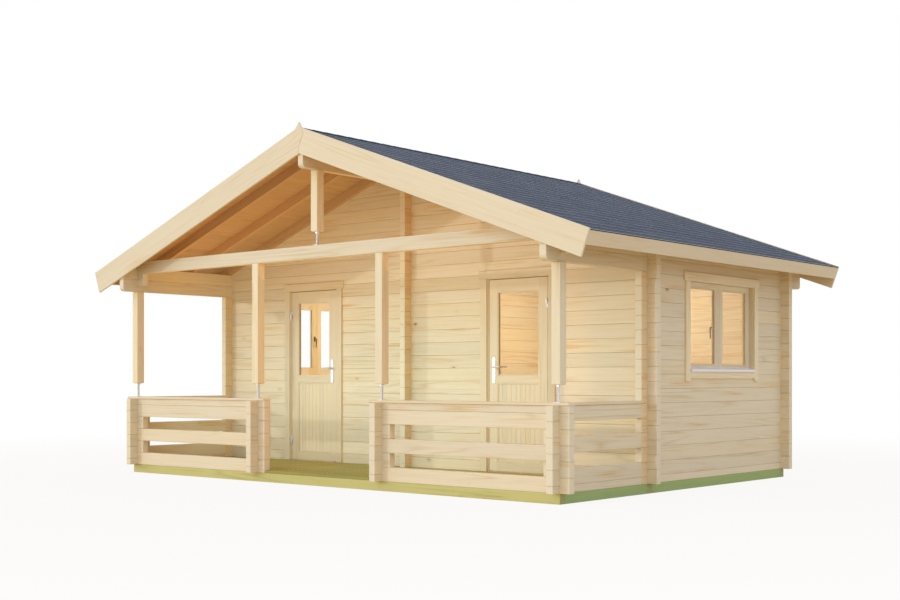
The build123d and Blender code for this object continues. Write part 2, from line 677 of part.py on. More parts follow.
def door_casing():
    """Trim boards on the wall face; the head trim has ears."""
    y_pair = (Y_WALL - CASING_T, Y_WALL)
    inner = FRAME_IN_HALF + CASING_REVEAL
    outer = inner + CASING_W
    low = HEAD_LOW + CASING_REVEAL * HALF_SHARE
    ear = outer + CASING_EAR
    trim = block((DOOR_X - ear, DOOR_X + ear), y_pair, (low, low + CASING_W))
    for side in (-1, 1):
        x_pair = tuple(sorted((DOOR_X + side * inner, DOOR_X + side * outer)))
        trim += block(x_pair, y_pair, (FLOOR_TOP, low))
    return trim


def door_leaf():
    """Glazed leaf with a recessed lower panel and a hole for the spindle."""
    leaf = block((DOOR_X - LEAF_HALF, DOOR_X + LEAF_HALF), (LEAF_FRONT, LEAF_BACK), (LEAF_LOW, LEAF_TOP))
    x_pair = (DOOR_X - LEAF_HALF + STILE_W, DOOR_X + LEAF_HALF - STILE_W)
    leaf -= block(x_pair, (LEAF_FRONT - OVERRUN, LEAF_BACK + OVERRUN), glass_z())
    panel_z = (LEAF_LOW + BOTTOM_RAIL_H, glass_z()[0] - MID_RAIL_H)
    leaf -= block(x_pair, (LEAF_FRONT - OVERRUN, LEAF_FRONT + PANEL_SET), panel_z)
    leaf -= block(x_pair, (LEAF_BACK - PANEL_SET, LEAF_BACK + OVERRUN), panel_z)
    return leaf - spindle_hole()


def spindle_hole():
    """Square clearance hole for the spindle through leaf and plates."""
    half = SPINDLE_D * HALF_SHARE + SPINDLE_PLAY
    z_pair = (LEVER_AXIS_Z - half, LEVER_AXIS_Z + half)
    return block((LEVER_X - half, LEVER_X + half), (LEAF_FRONT - OVERRUN, LEAF_BACK + OVERRUN), z_pair)


def glass_z():
    """Lower and upper edge of the door pane."""
    return (LEAF_TOP - TOP_RAIL_H - GLASS_H, LEAF_TOP - TOP_RAIL_H)


def door_pane():
    """Glazing unit in the upper part of the leaf."""
    mid = (LEAF_FRONT + LEAF_BACK) * HALF_SHARE
    half = PANE_T * HALF_SHARE
    x_pair = (DOOR_X - LEAF_HALF + STILE_W, DOOR_X + LEAF_HALF - STILE_W)
    return block(x_pair, (mid - half, mid + half), glass_z())


def handle_plates():
    """Long plate on each face of the leaf, pierced for the spindle."""
    half = PLATE_W * HALF_SHARE
    z_pair = (LEVER_AXIS_Z - PLATE_DOWN, LEVER_AXIS_Z + PLATE_UP)
    plates = []
    for y_pair in ((LEAF_FRONT - PLATE_T, LEAF_FRONT), (LEAF_BACK, LEAF_BACK + PLATE_T)):
        plates.append(block((LEVER_X - half, LEVER_X + half), y_pair, z_pair) - spindle_hole())
    return plates


def door_lever():
    """Grips inside and outside on one spindle, pointing to the hinge side."""
    front = LEAF_FRONT - LEVER_OUT
    back = LEAF_BACK + LEVER_OUT
    lever = rod_along_y(LEVER_X, LEVER_AXIS_Z, front, back, SPINDLE_D)
    x_low = LEVER_X - GRIP_H * HALF_SHARE
    z_pair = (LEVER_AXIS_Z - GRIP_H * HALF_SHARE, LEVER_AXIS_Z + GRIP_H * HALF_SHARE)
    for y in (front - GRIP_T, back):
        lever += block((x_low, x_low + LEVER_LEN), (y, y + GRIP_T), z_pair)
    return lever


def hinge_halves():
    """Upper barrel halves with plates on the leaf, lower ones with plates on the frame."""
    leaf_side = []
    frame_side = []
    half = HINGE_H * HALF_SHARE
    radius = HINGE_D * HALF_SHARE
    for low in (HINGE_LOW, HINGE_HIGH):
        mid = LEAF_LOW + low
        z_pair = (mid + HINGE_PLAY, mid + half)
        upper = rod_along_z(HINGE_X, HINGE_Y, *z_pair, HINGE_D)
        upper += block((HINGE_X - HINGE_PLATE_W, HINGE_X), (LEAF_FRONT - HINGE_PLATE_T, LEAF_FRONT), z_pair)
        upper += block((HINGE_X - radius, HINGE_X), (HINGE_Y, LEAF_FRONT), z_pair)
        leaf_side.append(upper)
        z_pair = (mid - half, mid)
        lower = faceted_rod(HINGE_X, HINGE_Y, *z_pair, HINGE_D)
        wing = (HINGE_X + radius * HALF_SHARE, HINGE_X + HINGE_WING_W)
        lower += block(wing, (HINGE_Y, Y_WALL), z_pair)
        frame_side.append(lower)
    return leaf_side, frame_side


FRAME = door_frame()
save("door_frames", FRAME, flipped(FRAME))
CASING = door_casing()
save("door_casings", CASING, flipped(CASING))
LEAF = door_leaf()
PLATES = handle_plates()
LEVER = door_lever()
LEAF_HINGES, FRAME_HINGES = hinge_halves()
save("frame_hinges", *FRAME_HINGES, *[flipped(half) for half in FRAME_HINGES])
save("right_door_leaf", LEAF)
save("left_door_leaf", flipped(LEAF))
save("right_door_glass", door_pane())
save("left_door_glass", flipped(door_pane()))
save("right_handle_plates", *PLATES)
save("left_handle_plates", *[flipped(plate) for plate in PLATES])
save("right_lever", LEVER)
save("left_lever", flipped(LEVER))
save("right_leaf_hinges", *LEAF_HINGES)
save("left_leaf_hinges", *[flipped(half) for half in LEAF_HINGES])

# Windows, drawn for the right wall
SASH_FRONT = X_OUT - SASH_SET
SASH_BACK = SASH_FRONT - SASH_T
FRAME_X = (X_IN - FRAME_IN, X_OUT)
LIGHT_HALF = WINDOW_HALF - FRAME_T
LIGHT_LOW = WINDOW_LOW + FRAME_T
LIGHT_TOP = PLATE_LOW - FRAME_T


def window_y(low, high):
    """Pair of Y limits measured from the window centre."""
    return (WINDOW_MID + low, WINDOW_MID + high)


def window_frame():
    """Boards lining the window opening."""
    frame = block(FRAME_X, window_y(-WINDOW_HALF, WINDOW_HALF), (WINDOW_LOW, PLATE_LOW))
    x_pair = (X_IN - FRAME_IN - OVERRUN, X_OUT + OVERRUN)
    return frame - block(x_pair, window_y(-LIGHT_HALF, LIGHT_HALF), (LIGHT_LOW, LIGHT_TOP))


def sash_pairs():
    """Outer limits of the two sashes from the window centre."""
    gap = SASH_GAP * HALF_SHARE
    return (-LIGHT_HALF, -gap), (gap, LIGHT_HALF)


def window_sashes():
    """Two sashes set deep in the frame."""
    sashes = []
    for low, high in sash_pairs():
        sash = block((SASH_BACK, SASH_FRONT), window_y(low, high), (LIGHT_LOW, LIGHT_TOP))
        x_pair = (SASH_BACK - OVERRUN, SASH_FRONT + OVERRUN)
        z_pair = (LIGHT_LOW + SASH_RAIL, LIGHT_TOP - SASH_RAIL)
        sashes.append(sash - block(x_pair, window_y(low + SASH_STILE, high - SASH_STILE), z_pair))
    return sashes


def window_panes():
    """Glazing unit of each sash."""
    mid = (SASH_BACK + SASH_FRONT) * HALF_SHARE
    x_pair = (mid - PANE_T * HALF_SHARE, mid + PANE_T * HALF_SHARE)
    z_pair = (LIGHT_LOW + SASH_RAIL, LIGHT_TOP - SASH_RAIL)
    return [block(x_pair, window_y(low + SASH_STILE, high - SASH_STILE), z_pair) for low, high in sash_pairs()]


def window_casing():
    """Trim boards on the wall face: eared head, long legs and an apron under the sill."""
    x_pair = (X_OUT, X_OUT + CASING_T)
    inner = LIGHT_HALF + WINDOW_REVEAL
    outer = inner + CASING_W
    ear = outer + CASING_EAR
    trim = block(x_pair, window_y(-ear, ear), (LIGHT_TOP, LIGHT_TOP + WINDOW_HEAD_H))
    for low, high in ((-outer, -inner), (inner, outer)):
        trim += block(x_pair, window_y(low, high), (LIGHT_LOW - LEG_DROP, LIGHT_TOP))
    apron_top = LIGHT_LOW - APRON_DROP
    return trim + block(x_pair, window_y(-inner, inner), (apron_top - APRON_H, apron_top))


def window_sill():
    """Sloping drip sill from the sash over the apron."""
    apron_top = LIGHT_LOW - APRON_DROP
    nose = X_OUT + SILL_OUT
    points = [
        (nose, apron_top),
        (nose, apron_top + SILL_NOSE_H),
        (SASH_FRONT, LIGHT_LOW + SILL_BACK_H),
        (SASH_FRONT, LIGHT_LOW),
        (X_OUT, LIGHT_LOW),
        (X_OUT, apron_top),
    ]
    return prism_along_y(points, *window_y(-LIGHT_HALF, LIGHT_HALF))


WINDOW_FRAME = window_frame()
SASHES = window_sashes()
PANES = window_panes()
WINDOW_CASING = window_casing()
SILL = window_sill()
save("window_frames", WINDOW_FRAME, flipped(WINDOW_FRAME))
save("window_sashes", *SASHES, *[flipped(sash) for sash in SASHES])
save("window_glass", *PANES, *[flipped(pane) for pane in PANES])
save("window_casings", WINDOW_CASING, flipped(WINDOW_CASING))
save("window_sills", SILL, flipped(SILL))
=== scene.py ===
"""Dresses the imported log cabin: pine logs, boarded and shingled roof, glazed doors and windows."""

from __future__ import annotations

import json
import logging
import math
import random
from dataclasses import dataclass, field, replace
from enum import Enum
from typing import Iterable, Sequence

import bmesh
import bpy
from mathutils import Matrix, Vector

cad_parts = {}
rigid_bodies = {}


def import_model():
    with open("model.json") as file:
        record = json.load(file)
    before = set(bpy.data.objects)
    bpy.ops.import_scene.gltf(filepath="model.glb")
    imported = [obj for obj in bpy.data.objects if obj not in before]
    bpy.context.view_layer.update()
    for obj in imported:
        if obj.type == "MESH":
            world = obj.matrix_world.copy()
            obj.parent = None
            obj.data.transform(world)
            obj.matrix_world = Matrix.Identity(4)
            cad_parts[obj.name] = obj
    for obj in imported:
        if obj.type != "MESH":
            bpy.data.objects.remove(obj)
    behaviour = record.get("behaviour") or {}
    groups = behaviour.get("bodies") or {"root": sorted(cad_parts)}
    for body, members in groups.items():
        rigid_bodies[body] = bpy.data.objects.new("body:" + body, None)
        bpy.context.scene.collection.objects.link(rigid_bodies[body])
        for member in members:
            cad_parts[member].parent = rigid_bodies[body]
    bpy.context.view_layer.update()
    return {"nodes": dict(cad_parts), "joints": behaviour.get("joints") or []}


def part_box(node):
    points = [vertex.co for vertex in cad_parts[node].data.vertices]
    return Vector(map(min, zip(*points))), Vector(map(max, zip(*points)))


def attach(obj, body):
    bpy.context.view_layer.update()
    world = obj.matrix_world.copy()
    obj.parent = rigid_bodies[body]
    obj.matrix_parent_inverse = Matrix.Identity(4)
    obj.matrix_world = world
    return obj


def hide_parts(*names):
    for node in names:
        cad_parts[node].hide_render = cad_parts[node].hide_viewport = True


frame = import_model()
REPORT = logging.getLogger("log_cabin")
Triple = tuple[float, float, float]
Colour = Triple
Pair = tuple[float, float]
Box = tuple[Vector, Vector]
Node = bpy.types.Node
Socket = bpy.types.NodeSocket
X, Y, Z = Vector((1, 0, 0)), Vector((0, 1, 0)), Vector((0, 0, 1))
MATERIALS: dict[str, bpy.types.Material] = {}
WHITE: Colour = (1.0, 1.0, 1.0)
CREASE = math.radians(38)
BEVEL_ANGLE = math.radians(40)
END_LEAN = 0.8
END_SHIFT = (0.06, 0.05)
SIDE_SHIFT = 0.5
TONE_SHIFT = (41.0, 17.0)
SCREW_HEIGHT = 0.0016
RAIL_PLAY = 0.0004
BEAD_EDGE = 0.003
PANE_EDGE = 0.0004
EDGE_SHARE = 0.3
NOSE_TURNS = (22.5, 45.0, 67.5)
KNUCKLE = 0.008
KNUCKLE_FOOT = ((0.95, 0.0), (1.0, 0.0005))
KNUCKLE_TIP = ((1.0, 0.004), (0.8, 0.0012), (0.45, 0.0))


class Side(Enum):
    """Half of the cabin."""

    LEFT = -1
    RIGHT = 1

    @property
    def word(self) -> str:
        """Name of the side as the frame's nodes use it."""
        return self.name.lower()


@dataclass(frozen=True)
class Plane:
    """A cutting plane; what lies on the side of its normal is taken off."""

    point: Vector
    normal: Vector


class NodeGraph:
    """Short way of adding and linking nodes in a tree."""

    def __init__(self, tree: bpy.types.NodeTree) -> None:
        """Keeps the tree."""
        self.tree = tree

    def feed(self, node: Node, inputs: dict) -> None:
        """Sets or links a node's inputs.

        Args:
            node: the node.
            inputs: socket key to a value, an opaque colour, a socket or a node to link from.
        """
        for key, value in inputs.items():
            if isinstance(value, Node):
                value = value.outputs[0]
            if isinstance(value, Socket):
                self.tree.links.new(value, node.inputs[key])
            else:
                socket = node.inputs[key]
                socket.default_value = (*value, 1.0) if socket.type == "RGBA" else value

    def add(self, kind: str, inputs: dict | None = None, **settings: object) -> Node:
        """Adds one node.

        Args:
            kind: the node's type.
            inputs: socket key to what its socket takes, as for feed.
            settings: properties of the node itself.

        Returns:
            The new node.
        """
        node = self.tree.nodes.new(kind)
        for key, value in settings.items():
            setattr(node, key, value)
        self.feed(node, inputs or {})
        return node

    def math(self, operation: str, *values: object, clamp: bool = False) -> Socket:
        """Adds a Math node."""
        inputs = dict(enumerate(values))
        return self.add("ShaderNodeMath", inputs, operation=operation, use_clamp=clamp).outputs[0]

    def ramp(
        self, value: object, low: float, high: float, to_low: float = 0.0, to_high: float = 1.0
    ) -> Socket:
        """Adds a smooth Map Range node."""
        span = {"Value": value, "From Min": low, "From Max": high, "To Min": to_low, "To Max": to_high}
        return self.add("ShaderNodeMapRange", span, interpolation_type="SMOOTHSTEP").outputs[0]

    def mix(self, share: object, first: object, second: object, blend: str = "MIX") -> Socket:
        """Adds a colour mix."""
        inputs = {0: share, 6: first, 7: second}
        return self.add("ShaderNodeMix", inputs, data_type="RGBA", blend_type=blend).outputs[2]

    def placed(self, source: object, scale: Triple, shift: Triple = (0.0, 0.0, 0.0)) -> Node:
        """Stretches and shifts coordinates."""
        return self.add("ShaderNodeMapping", {"Vector": source, "Location": shift, "Scale": scale})

    def stretched(self, source: object, scale: Triple, detail: float, rough: float = 0.5) -> Socket:
        """Adds noise stretched along the grain."""
        inputs = {"Vector": self.placed(source, scale), "Scale": 1.0, "Detail": detail, "Roughness": rough}
        return self.add("ShaderNodeTexNoise", inputs).outputs[0]

    def cells(
        self, source: object, scale: Triple, shift: Triple = (0.0, 0.0, 0.0), chance: float = 1.0
    ) -> Node:
        """Adds a cell pattern stretched along the grain."""
        place = self.placed(source, scale, shift)
        return self.add("ShaderNodeTexVoronoi", {"Vector": place, "Scale": 1.0, "Randomness": chance})

    def draw(self, cells: Node, channel: int = 0) -> Socket:
        """Returns a random number for every cell, from one channel of its colour."""
        return self.add("ShaderNodeSeparateColor", {0: cells.outputs["Color"]}).outputs[channel]

    def attribute(self, name: str) -> Socket:
        """Returns the value of a mesh attribute."""
        return self.add("ShaderNodeAttribute", attribute_name=name).outputs["Fac"]

    def grain(self) -> Socket:
        """Returns the coordinates of the grain map."""
        return self.add("ShaderNodeUVMap", uv_map="grain").outputs[0]

    def spot(self) -> Socket:
        """Returns the Object coordinates."""
        return self.add("ShaderNodeTexCoord").outputs["Object"]

    def coat(self, inputs: dict, height: Socket, strength: float, reach: float) -> None:
        """Sets the surface shader's inputs and a relief of some strength and of a reach in metres."""
        relief = self.add("ShaderNodeBump", {"Height": height, "Strength": strength, "Distance": reach})
        self.feed(self.tree.nodes["Principled BSDF"], inputs | {"Normal": relief})


@dataclass(frozen=True)
class Finish:
    """What all finishes share: a name and a material made once."""

    name: str

    def material(self) -> bpy.types.Material:
        """Makes the finish's material at first use.

        Returns:
            The material.
        """
        if self.name not in MATERIALS:
            made = MATERIALS[self.name] = bpy.data.materials.new(self.name)
            made.use_nodes = True
            self.paint(NodeGraph(made.node_tree))
        return MATERIALS[self.name]

    def paint(self, graph: NodeGraph) -> None:
        """Fills the material's nodes."""
        raise NotImplementedError


@dataclass(frozen=True)
class PineFinish(Finish):
    """Planed softwood with growth-ring flames, fine fibres and knots along the grain map."""

    pale: Colour = (0.835, 0.712, 0.468)
    ring: Colour = (0.66, 0.465, 0.21)
    flare: Colour = (0.74, 0.46, 0.15)
    knot: Colour = (0.36, 0.19, 0.075)
    warm: Colour = (1.0, 0.975, 0.92)
    flame: float = 0.5
    flare_share: float = 0.36
    knot_share: float = 0.74
    roughness: float = 0.58
    ring_grain: Triple = (0.45, 8.0, 1.0)
    ring_count: float = 17.0
    ring_sharpness: float = 2.2
    patch_grain: Triple = (0.7, 5.0, 1.0)
    fibre_grain: Triple = (5.0, 330.0, 1.0)
    streak_grain: Triple = (0.9, 46.0, 1.0)
    needle_grain: Triple = (1.5, 95.0, 1.0)
    tongue_grain: Triple = (1.15, 7.6, 1.0)
    tongue_shift: Triple = (3.7, 1.9, 0.0)
    knot_grain: Triple = (2.6, 4.6, 1.0)

    def tongues(self, graph: NodeGraph, grain: Socket) -> Socket:
        """Scatters long orange tongues.

        Args:
            graph: the material's node graph.
            grain: coordinates of the grain map.

        Returns:
            Share of the tongues' colour.
        """
        needle = graph.ramp(graph.stretched(grain, self.needle_grain, 2.0, 0.6), 0.42, 0.66)
        tongue = graph.cells(grain, self.tongue_grain, self.tongue_shift)
        there = graph.math("GREATER_THAN", graph.draw(tongue, 1), self.flare_share)
        fade = graph.ramp(tongue.outputs["Distance"], 0.42, 0.06)
        return graph.math("MULTIPLY", graph.math("MULTIPLY", there, needle), fade)

    def knots(self, graph: NodeGraph, grain: Socket) -> tuple[Socket, Socket]:
        """Scatters knots of different sizes.

        Args:
            graph: the material's node graph.
            grain: coordinates of the grain map.

        Returns:
            Shares of the knots' hearts and of the halos round them.
        """
        cells = graph.cells(grain, self.knot_grain)
        pick = graph.draw(cells)
        there = graph.math("GREATER_THAN", pick, self.knot_share)
        size = graph.math("MULTIPLY_ADD", pick, 0.10, -0.035)
        near = graph.math("DIVIDE", cells.outputs["Distance"], size)
        heart = graph.math("MULTIPLY", graph.ramp(near, 1.25, 0.75), there)
        return heart, graph.math("MULTIPLY", graph.ramp(near, 3.2, 1.0, 0.0, 0.42), there)

    def paint(self, graph: NodeGraph) -> None:
        """Fills the material's nodes.

        Args:
            graph: the material's node graph.
        """
        grain, tone = graph.grain(), graph.attribute("tone")
        lines = graph.math("MULTIPLY", graph.stretched(grain, self.ring_grain, 1.5, 0.4), self.ring_count)
        rings = graph.math("POWER", graph.math("PINGPONG", lines, 1.0), self.ring_sharpness)
        patch = graph.ramp(graph.stretched(grain, self.patch_grain, 1.0), 0.46, 0.72)
        fibre = graph.stretched(grain, self.fibre_grain, 2.0, 0.6)
        streak = graph.stretched(grain, self.streak_grain, 3.0, 0.6)
        share = graph.math("MULTIPLY", rings, graph.math("MULTIPLY_ADD", patch, self.flame, 0.10))
        share = graph.math("ADD", share, graph.ramp(streak, 0.42, 0.80, 0.0, 0.22))
        share = graph.math("ADD", share, graph.ramp(fibre, 0.35, 0.75, -0.04, 0.08), clamp=True)
        wood = graph.mix(share, self.pale, self.ring)
        wood = graph.mix(self.tongues(graph, grain), wood, self.flare)
        heart, halo = self.knots(graph, grain)
        wood = graph.mix(halo, wood, self.ring)
        wood = graph.mix(graph.math("MULTIPLY", heart, 0.85), wood, self.knot)
        wood = graph.mix(graph.ramp(tone, 0.45, 1.0, 0.0, 0.9), wood, self.warm, "MULTIPLY")
        level = graph.ramp(tone, 0.0, 0.55, 0.955, 1.02)
        grey = graph.add("ShaderNodeCombineColor", {0: level, 1: level, 2: level})
        wood = graph.mix(1.0, wood, grey, "MULTIPLY")
        rough = graph.ramp(streak, 0.3, 0.8, self.roughness - 0.06, self.roughness + 0.1)
        relief = graph.math("ADD", fibre, graph.math("MULTIPLY", rings, 0.5))
        relief = graph.math("SUBTRACT", relief, heart)
        coat = {"Base Color": wood, "Roughness": rough, "Specular IOR Level": 0.3}
        graph.coat(coat, relief, 0.22, 0.0009)


@dataclass(frozen=True)
class EndGrainFinish(Finish):
    """Sawn log and board ends with year rings and fine checks."""

    early: Colour = (0.87, 0.765, 0.53)
    late: Colour = (0.80, 0.655, 0.40)
    rings_per_m: float = 190.0
    hearts_per_m: float = 2.5

    def paint(self, graph: NodeGraph) -> None:
        """Fills the material's nodes.

        Args:
            graph: the material's node graph.
        """
        grain = graph.grain()
        wobble = graph.stretched(grain, (9.0, 9.0, 1.0), 2.0)
        pith = graph.cells(grain, (self.hearts_per_m, self.hearts_per_m, 1.0), chance=0.8)
        radius = graph.math("MULTIPLY", pith.outputs["Distance"], self.rings_per_m / self.hearts_per_m)
        radius = graph.math("ADD", radius, graph.math("MULTIPLY", wobble, 2.4))
        rings = graph.math("POWER", graph.math("PINGPONG", radius, 1.0), 1.6)
        saw = graph.stretched(grain, (260.0, 30.0, 1.0), 2.0)
        marks = graph.ramp(saw, 0.35, 0.8, 0.0, 0.3)
        share = graph.math("MULTIPLY_ADD", rings, 0.55, marks, clamp=True)
        wood = graph.mix(share, self.early, self.late)
        coat = {"Base Color": wood, "Roughness": 0.8, "Specular IOR Level": 0.2}
        graph.coat(coat, graph.math("ADD", saw, rings), 0.3, 0.001)


@dataclass(frozen=True)
class ShingleFinish(Finish):
    """Bitumen shingle with mineral granules, a darker band under each course's edge that is painted shadow and
    also like a printed shadow band, a painted highlight along the lower edge and a tone for every tab.
    """

    dark: Colour = (0.042, 0.055, 0.076)
    pale: Colour = (0.185, 0.190, 0.198)
    granules_per_m: float = 420.0

    def paint(self, graph: NodeGraph) -> None:
        """Fills the material's nodes.

        Args:
            graph: the material's node graph.
        """
        spot, lower = graph.spot(), graph.attribute("lower_edge")
        grit = graph.add("ShaderNodeTexVoronoi", {"Vector": spot, "Scale": self.granules_per_m})
        cloud = graph.stretched(spot, (3.0, 3.0, 3.0), 4.0, 0.6)
        speck = graph.math("MULTIPLY", graph.draw(grit), 0.24)
        share = graph.math("MULTIPLY_ADD", graph.attribute("tone"), 0.13, speck)
        # Darker band where the course above ends: painted shadow, also like a printed shadow band.
        share = graph.math("ADD", share, graph.ramp(lower, 0.45, 0.49, -0.20, 0.20))
        # Paler strip along each tab's lower edge: painted highlight.
        share = graph.math("ADD", share, graph.ramp(lower, 0.93, 0.97, 0.0, 0.42))
        share = graph.math("ADD", share, graph.ramp(cloud, 0.35, 0.7, -0.06, 0.08), clamp=True)
        stone = graph.mix(share, self.dark, self.pale)
        coat = {"Base Color": stone, "Roughness": 0.9, "Specular IOR Level": 0.06}
        graph.coat(coat, grit.outputs["Distance"], 0.15, 0.0006)


@dataclass(frozen=True)
class GlassFinish(Finish):
    """Clear float glass, faintly uneven."""

    tint: Colour = (0.975, 0.99, 0.985)
    bend: float = 1.3

    def paint(self, graph: NodeGraph) -> None:
        """Fills the material's nodes.

        Args:
            graph: the material's node graph.
        """
        rough = graph.ramp(graph.stretched(graph.spot(), (1.5, 1.5, 1.5), 1.0), 0.3, 0.7, 0.0, 0.012)
        clear = {"Base Color": self.tint, "Transmission Weight": 1.0, "IOR": self.bend}
        graph.feed(graph.tree.nodes["Principled BSDF"], clear | {"Roughness": rough})


@dataclass(frozen=True)
class MetalFinish(Finish):
    """Bare, plated or painted metal with a fine unevenness."""

    colour: Colour
    metallic: float = 1.0
    roughness: float = 0.35
    mottle: float = 0.05

    def paint(self, graph: NodeGraph) -> None:
        """Fills the material's nodes.

        Args:
            graph: the material's node graph.
        """
        cloud = graph.stretched(graph.spot(), (60.0, 60.0, 60.0), 3.0, 0.6)
        shade = tuple(channel * (1.0 - self.mottle * 2.5) for channel in self.colour)
        paint = graph.mix(graph.ramp(cloud, 0.35, 0.7), self.colour, shade)
        smooth, dull = self.roughness - self.mottle, self.roughness + self.mottle * 2.0
        rough = graph.ramp(cloud, 0.3, 0.75, smooth, dull)
        coat = {"Base Color": paint, "Roughness": rough, "Metallic": self.metallic}
        graph.coat(coat, cloud, 0.06, 0.0004)


@dataclass(frozen=True)
class Wood:
    """A pair of finishes: along the grain and across it."""

    face: Finish
    end: Finish


def plain(finish: Finish) -> Wood:
    """Returns a pair with one finish on all faces."""
    return Wood(finish, finish)


LOG_END = EndGrainFinish("log_end_grain")
LOG_PINE = PineFinish("log_pine")
# Browner, more orange copy of the log pine for the log ends on the terrace: painted shade and warm bounce
# light.
PAINTED_SHADE_STUB_PINE = replace(LOG_PINE, name="log_stub_pine", pale=(0.86, 0.66, 0.365), ring=(0.66, 0.42, 0.17))
JOINERY_PINE = PineFinish(
    "joinery_pine", pale=(0.80, 0.67, 0.425), flame=0.3, flare_share=0.82, knot_share=0.93, roughness=0.5
)
TRIM_PINE = replace(JOINERY_PINE, name="pale_trim_pine", pale=(0.905, 0.77, 0.485))
EAVE_PINE = PineFinish("eave_pine", pale=(0.76, 0.635, 0.42), flame=0.3, flare_share=0.7, knot_share=0.9)
# Darker, more orange pine for rafters and roof boards: painted shade and warm bounce light under the roof.
PAINTED_SHADE_ROOF_PINE = PineFinish("roof_pine", pale=(0.64, 0.41, 0.20), ring=(0.48, 0.26, 0.095), knot_share=0.68)
FLOOR_PINE = PineFinish("floor_pine", pale=(0.80, 0.655, 0.41), flame=0.6, knot_share=0.7)
LOG_WOOD, PAINTED_SHADE_STUB_WOOD, JOINERY_WOOD, TRIM_WOOD, EAVE_WOOD, PAINTED_SHADE_ROOF_WOOD, FLOOR_WOOD = (
    Wood(pine, LOG_END)
    for pine in (LOG_PINE, PAINTED_SHADE_STUB_PINE, JOINERY_PINE, TRIM_PINE, EAVE_PINE, PAINTED_SHADE_ROOF_PINE, FLOOR_PINE)
)
TREATED_END = EndGrainFinish("treated_end_grain", early=(0.47, 0.49, 0.20), late=(0.30, 0.31, 0.11))
GREEN_PINE = PineFinish(
    "treated_green_pine", pale=(0.38, 0.48, 0.168), ring=(0.26, 0.36, 0.11), flare=(0.30, 0.33, 0.10),
    knot=(0.17, 0.19, 0.05), warm=(1.0, 0.97, 0.92), flame=0.4, knot_share=0.86, roughness=0.7,
)
# Yellower copy of the green treated pine for the front base beam: painted sunlight.
PAINTED_SUNLIGHT_PINE = PineFinish(
    "treated_olive_pine", pale=(0.61, 0.57, 0.205), ring=(0.42, 0.37, 0.09), flare=(0.42, 0.34, 0.09),
    knot=(0.24, 0.18, 0.05), warm=(1.0, 0.96, 0.88), flame=0.4, knot_share=0.84, roughness=0.7,
)
DECK_PINE = PineFinish(
    "deck_treated_pine", pale=(0.39, 0.34, 0.075), ring=(0.27, 0.215, 0.042), flare=(0.36, 0.27, 0.07),
    knot=(0.22, 0.15, 0.04), warm=(1.0, 0.95, 0.86), flame=0.45, knot_share=0.84, roughness=0.7,
)
TREATED_WOOD, PAINTED_SUNLIGHT_TREATED_WOOD, DECK_WOOD = (
    Wood(pine, TREATED_END) for pine in (GREEN_PINE, PAINTED_SUNLIGHT_PINE, DECK_PINE)
)
SHINGLE = ShingleFinish("slate_blue_shingle")
# Pale finish on the shingles' cut edges: painted highlight that draws light lines between the rows.
PAINTED_HIGHLIGHT_CUT_EDGE = ShingleFinish("shingle_cut_edge", dark=(0.34, 0.34, 0.34), pale=(0.58, 0.575, 0.565))
SHINGLE_TABS = Wood(SHINGLE, PAINTED_HIGHLIGHT_CUT_EDGE)
GLASS = plain(GlassFinish("float_glass"))
ZINC = MetalFinish("zinc_plated_steel", (0.88, 0.86, 0.83), metallic=0.55, roughness=0.42, mottle=0.06)
ZINC_PLATE = plain(ZINC)
DULL_STEEL = MetalFinish("dull_screw_steel", (0.52, 0.46, 0.36), metallic=0.35, roughness=0.6)
SATIN = MetalFinish("satin_handle_metal", (0.80, 0.79, 0.77), metallic=0.5, roughness=0.30, mottle=0.03)
BRONZE = MetalFinish("brown_window_handle", (0.22, 0.13, 0.07), metallic=0.6, roughness=0.4)
WHITE_PAINT = MetalFinish("white_sill_paint", (0.94, 0.90, 0.82), metallic=0.0, roughness=0.4, mottle=0.01)


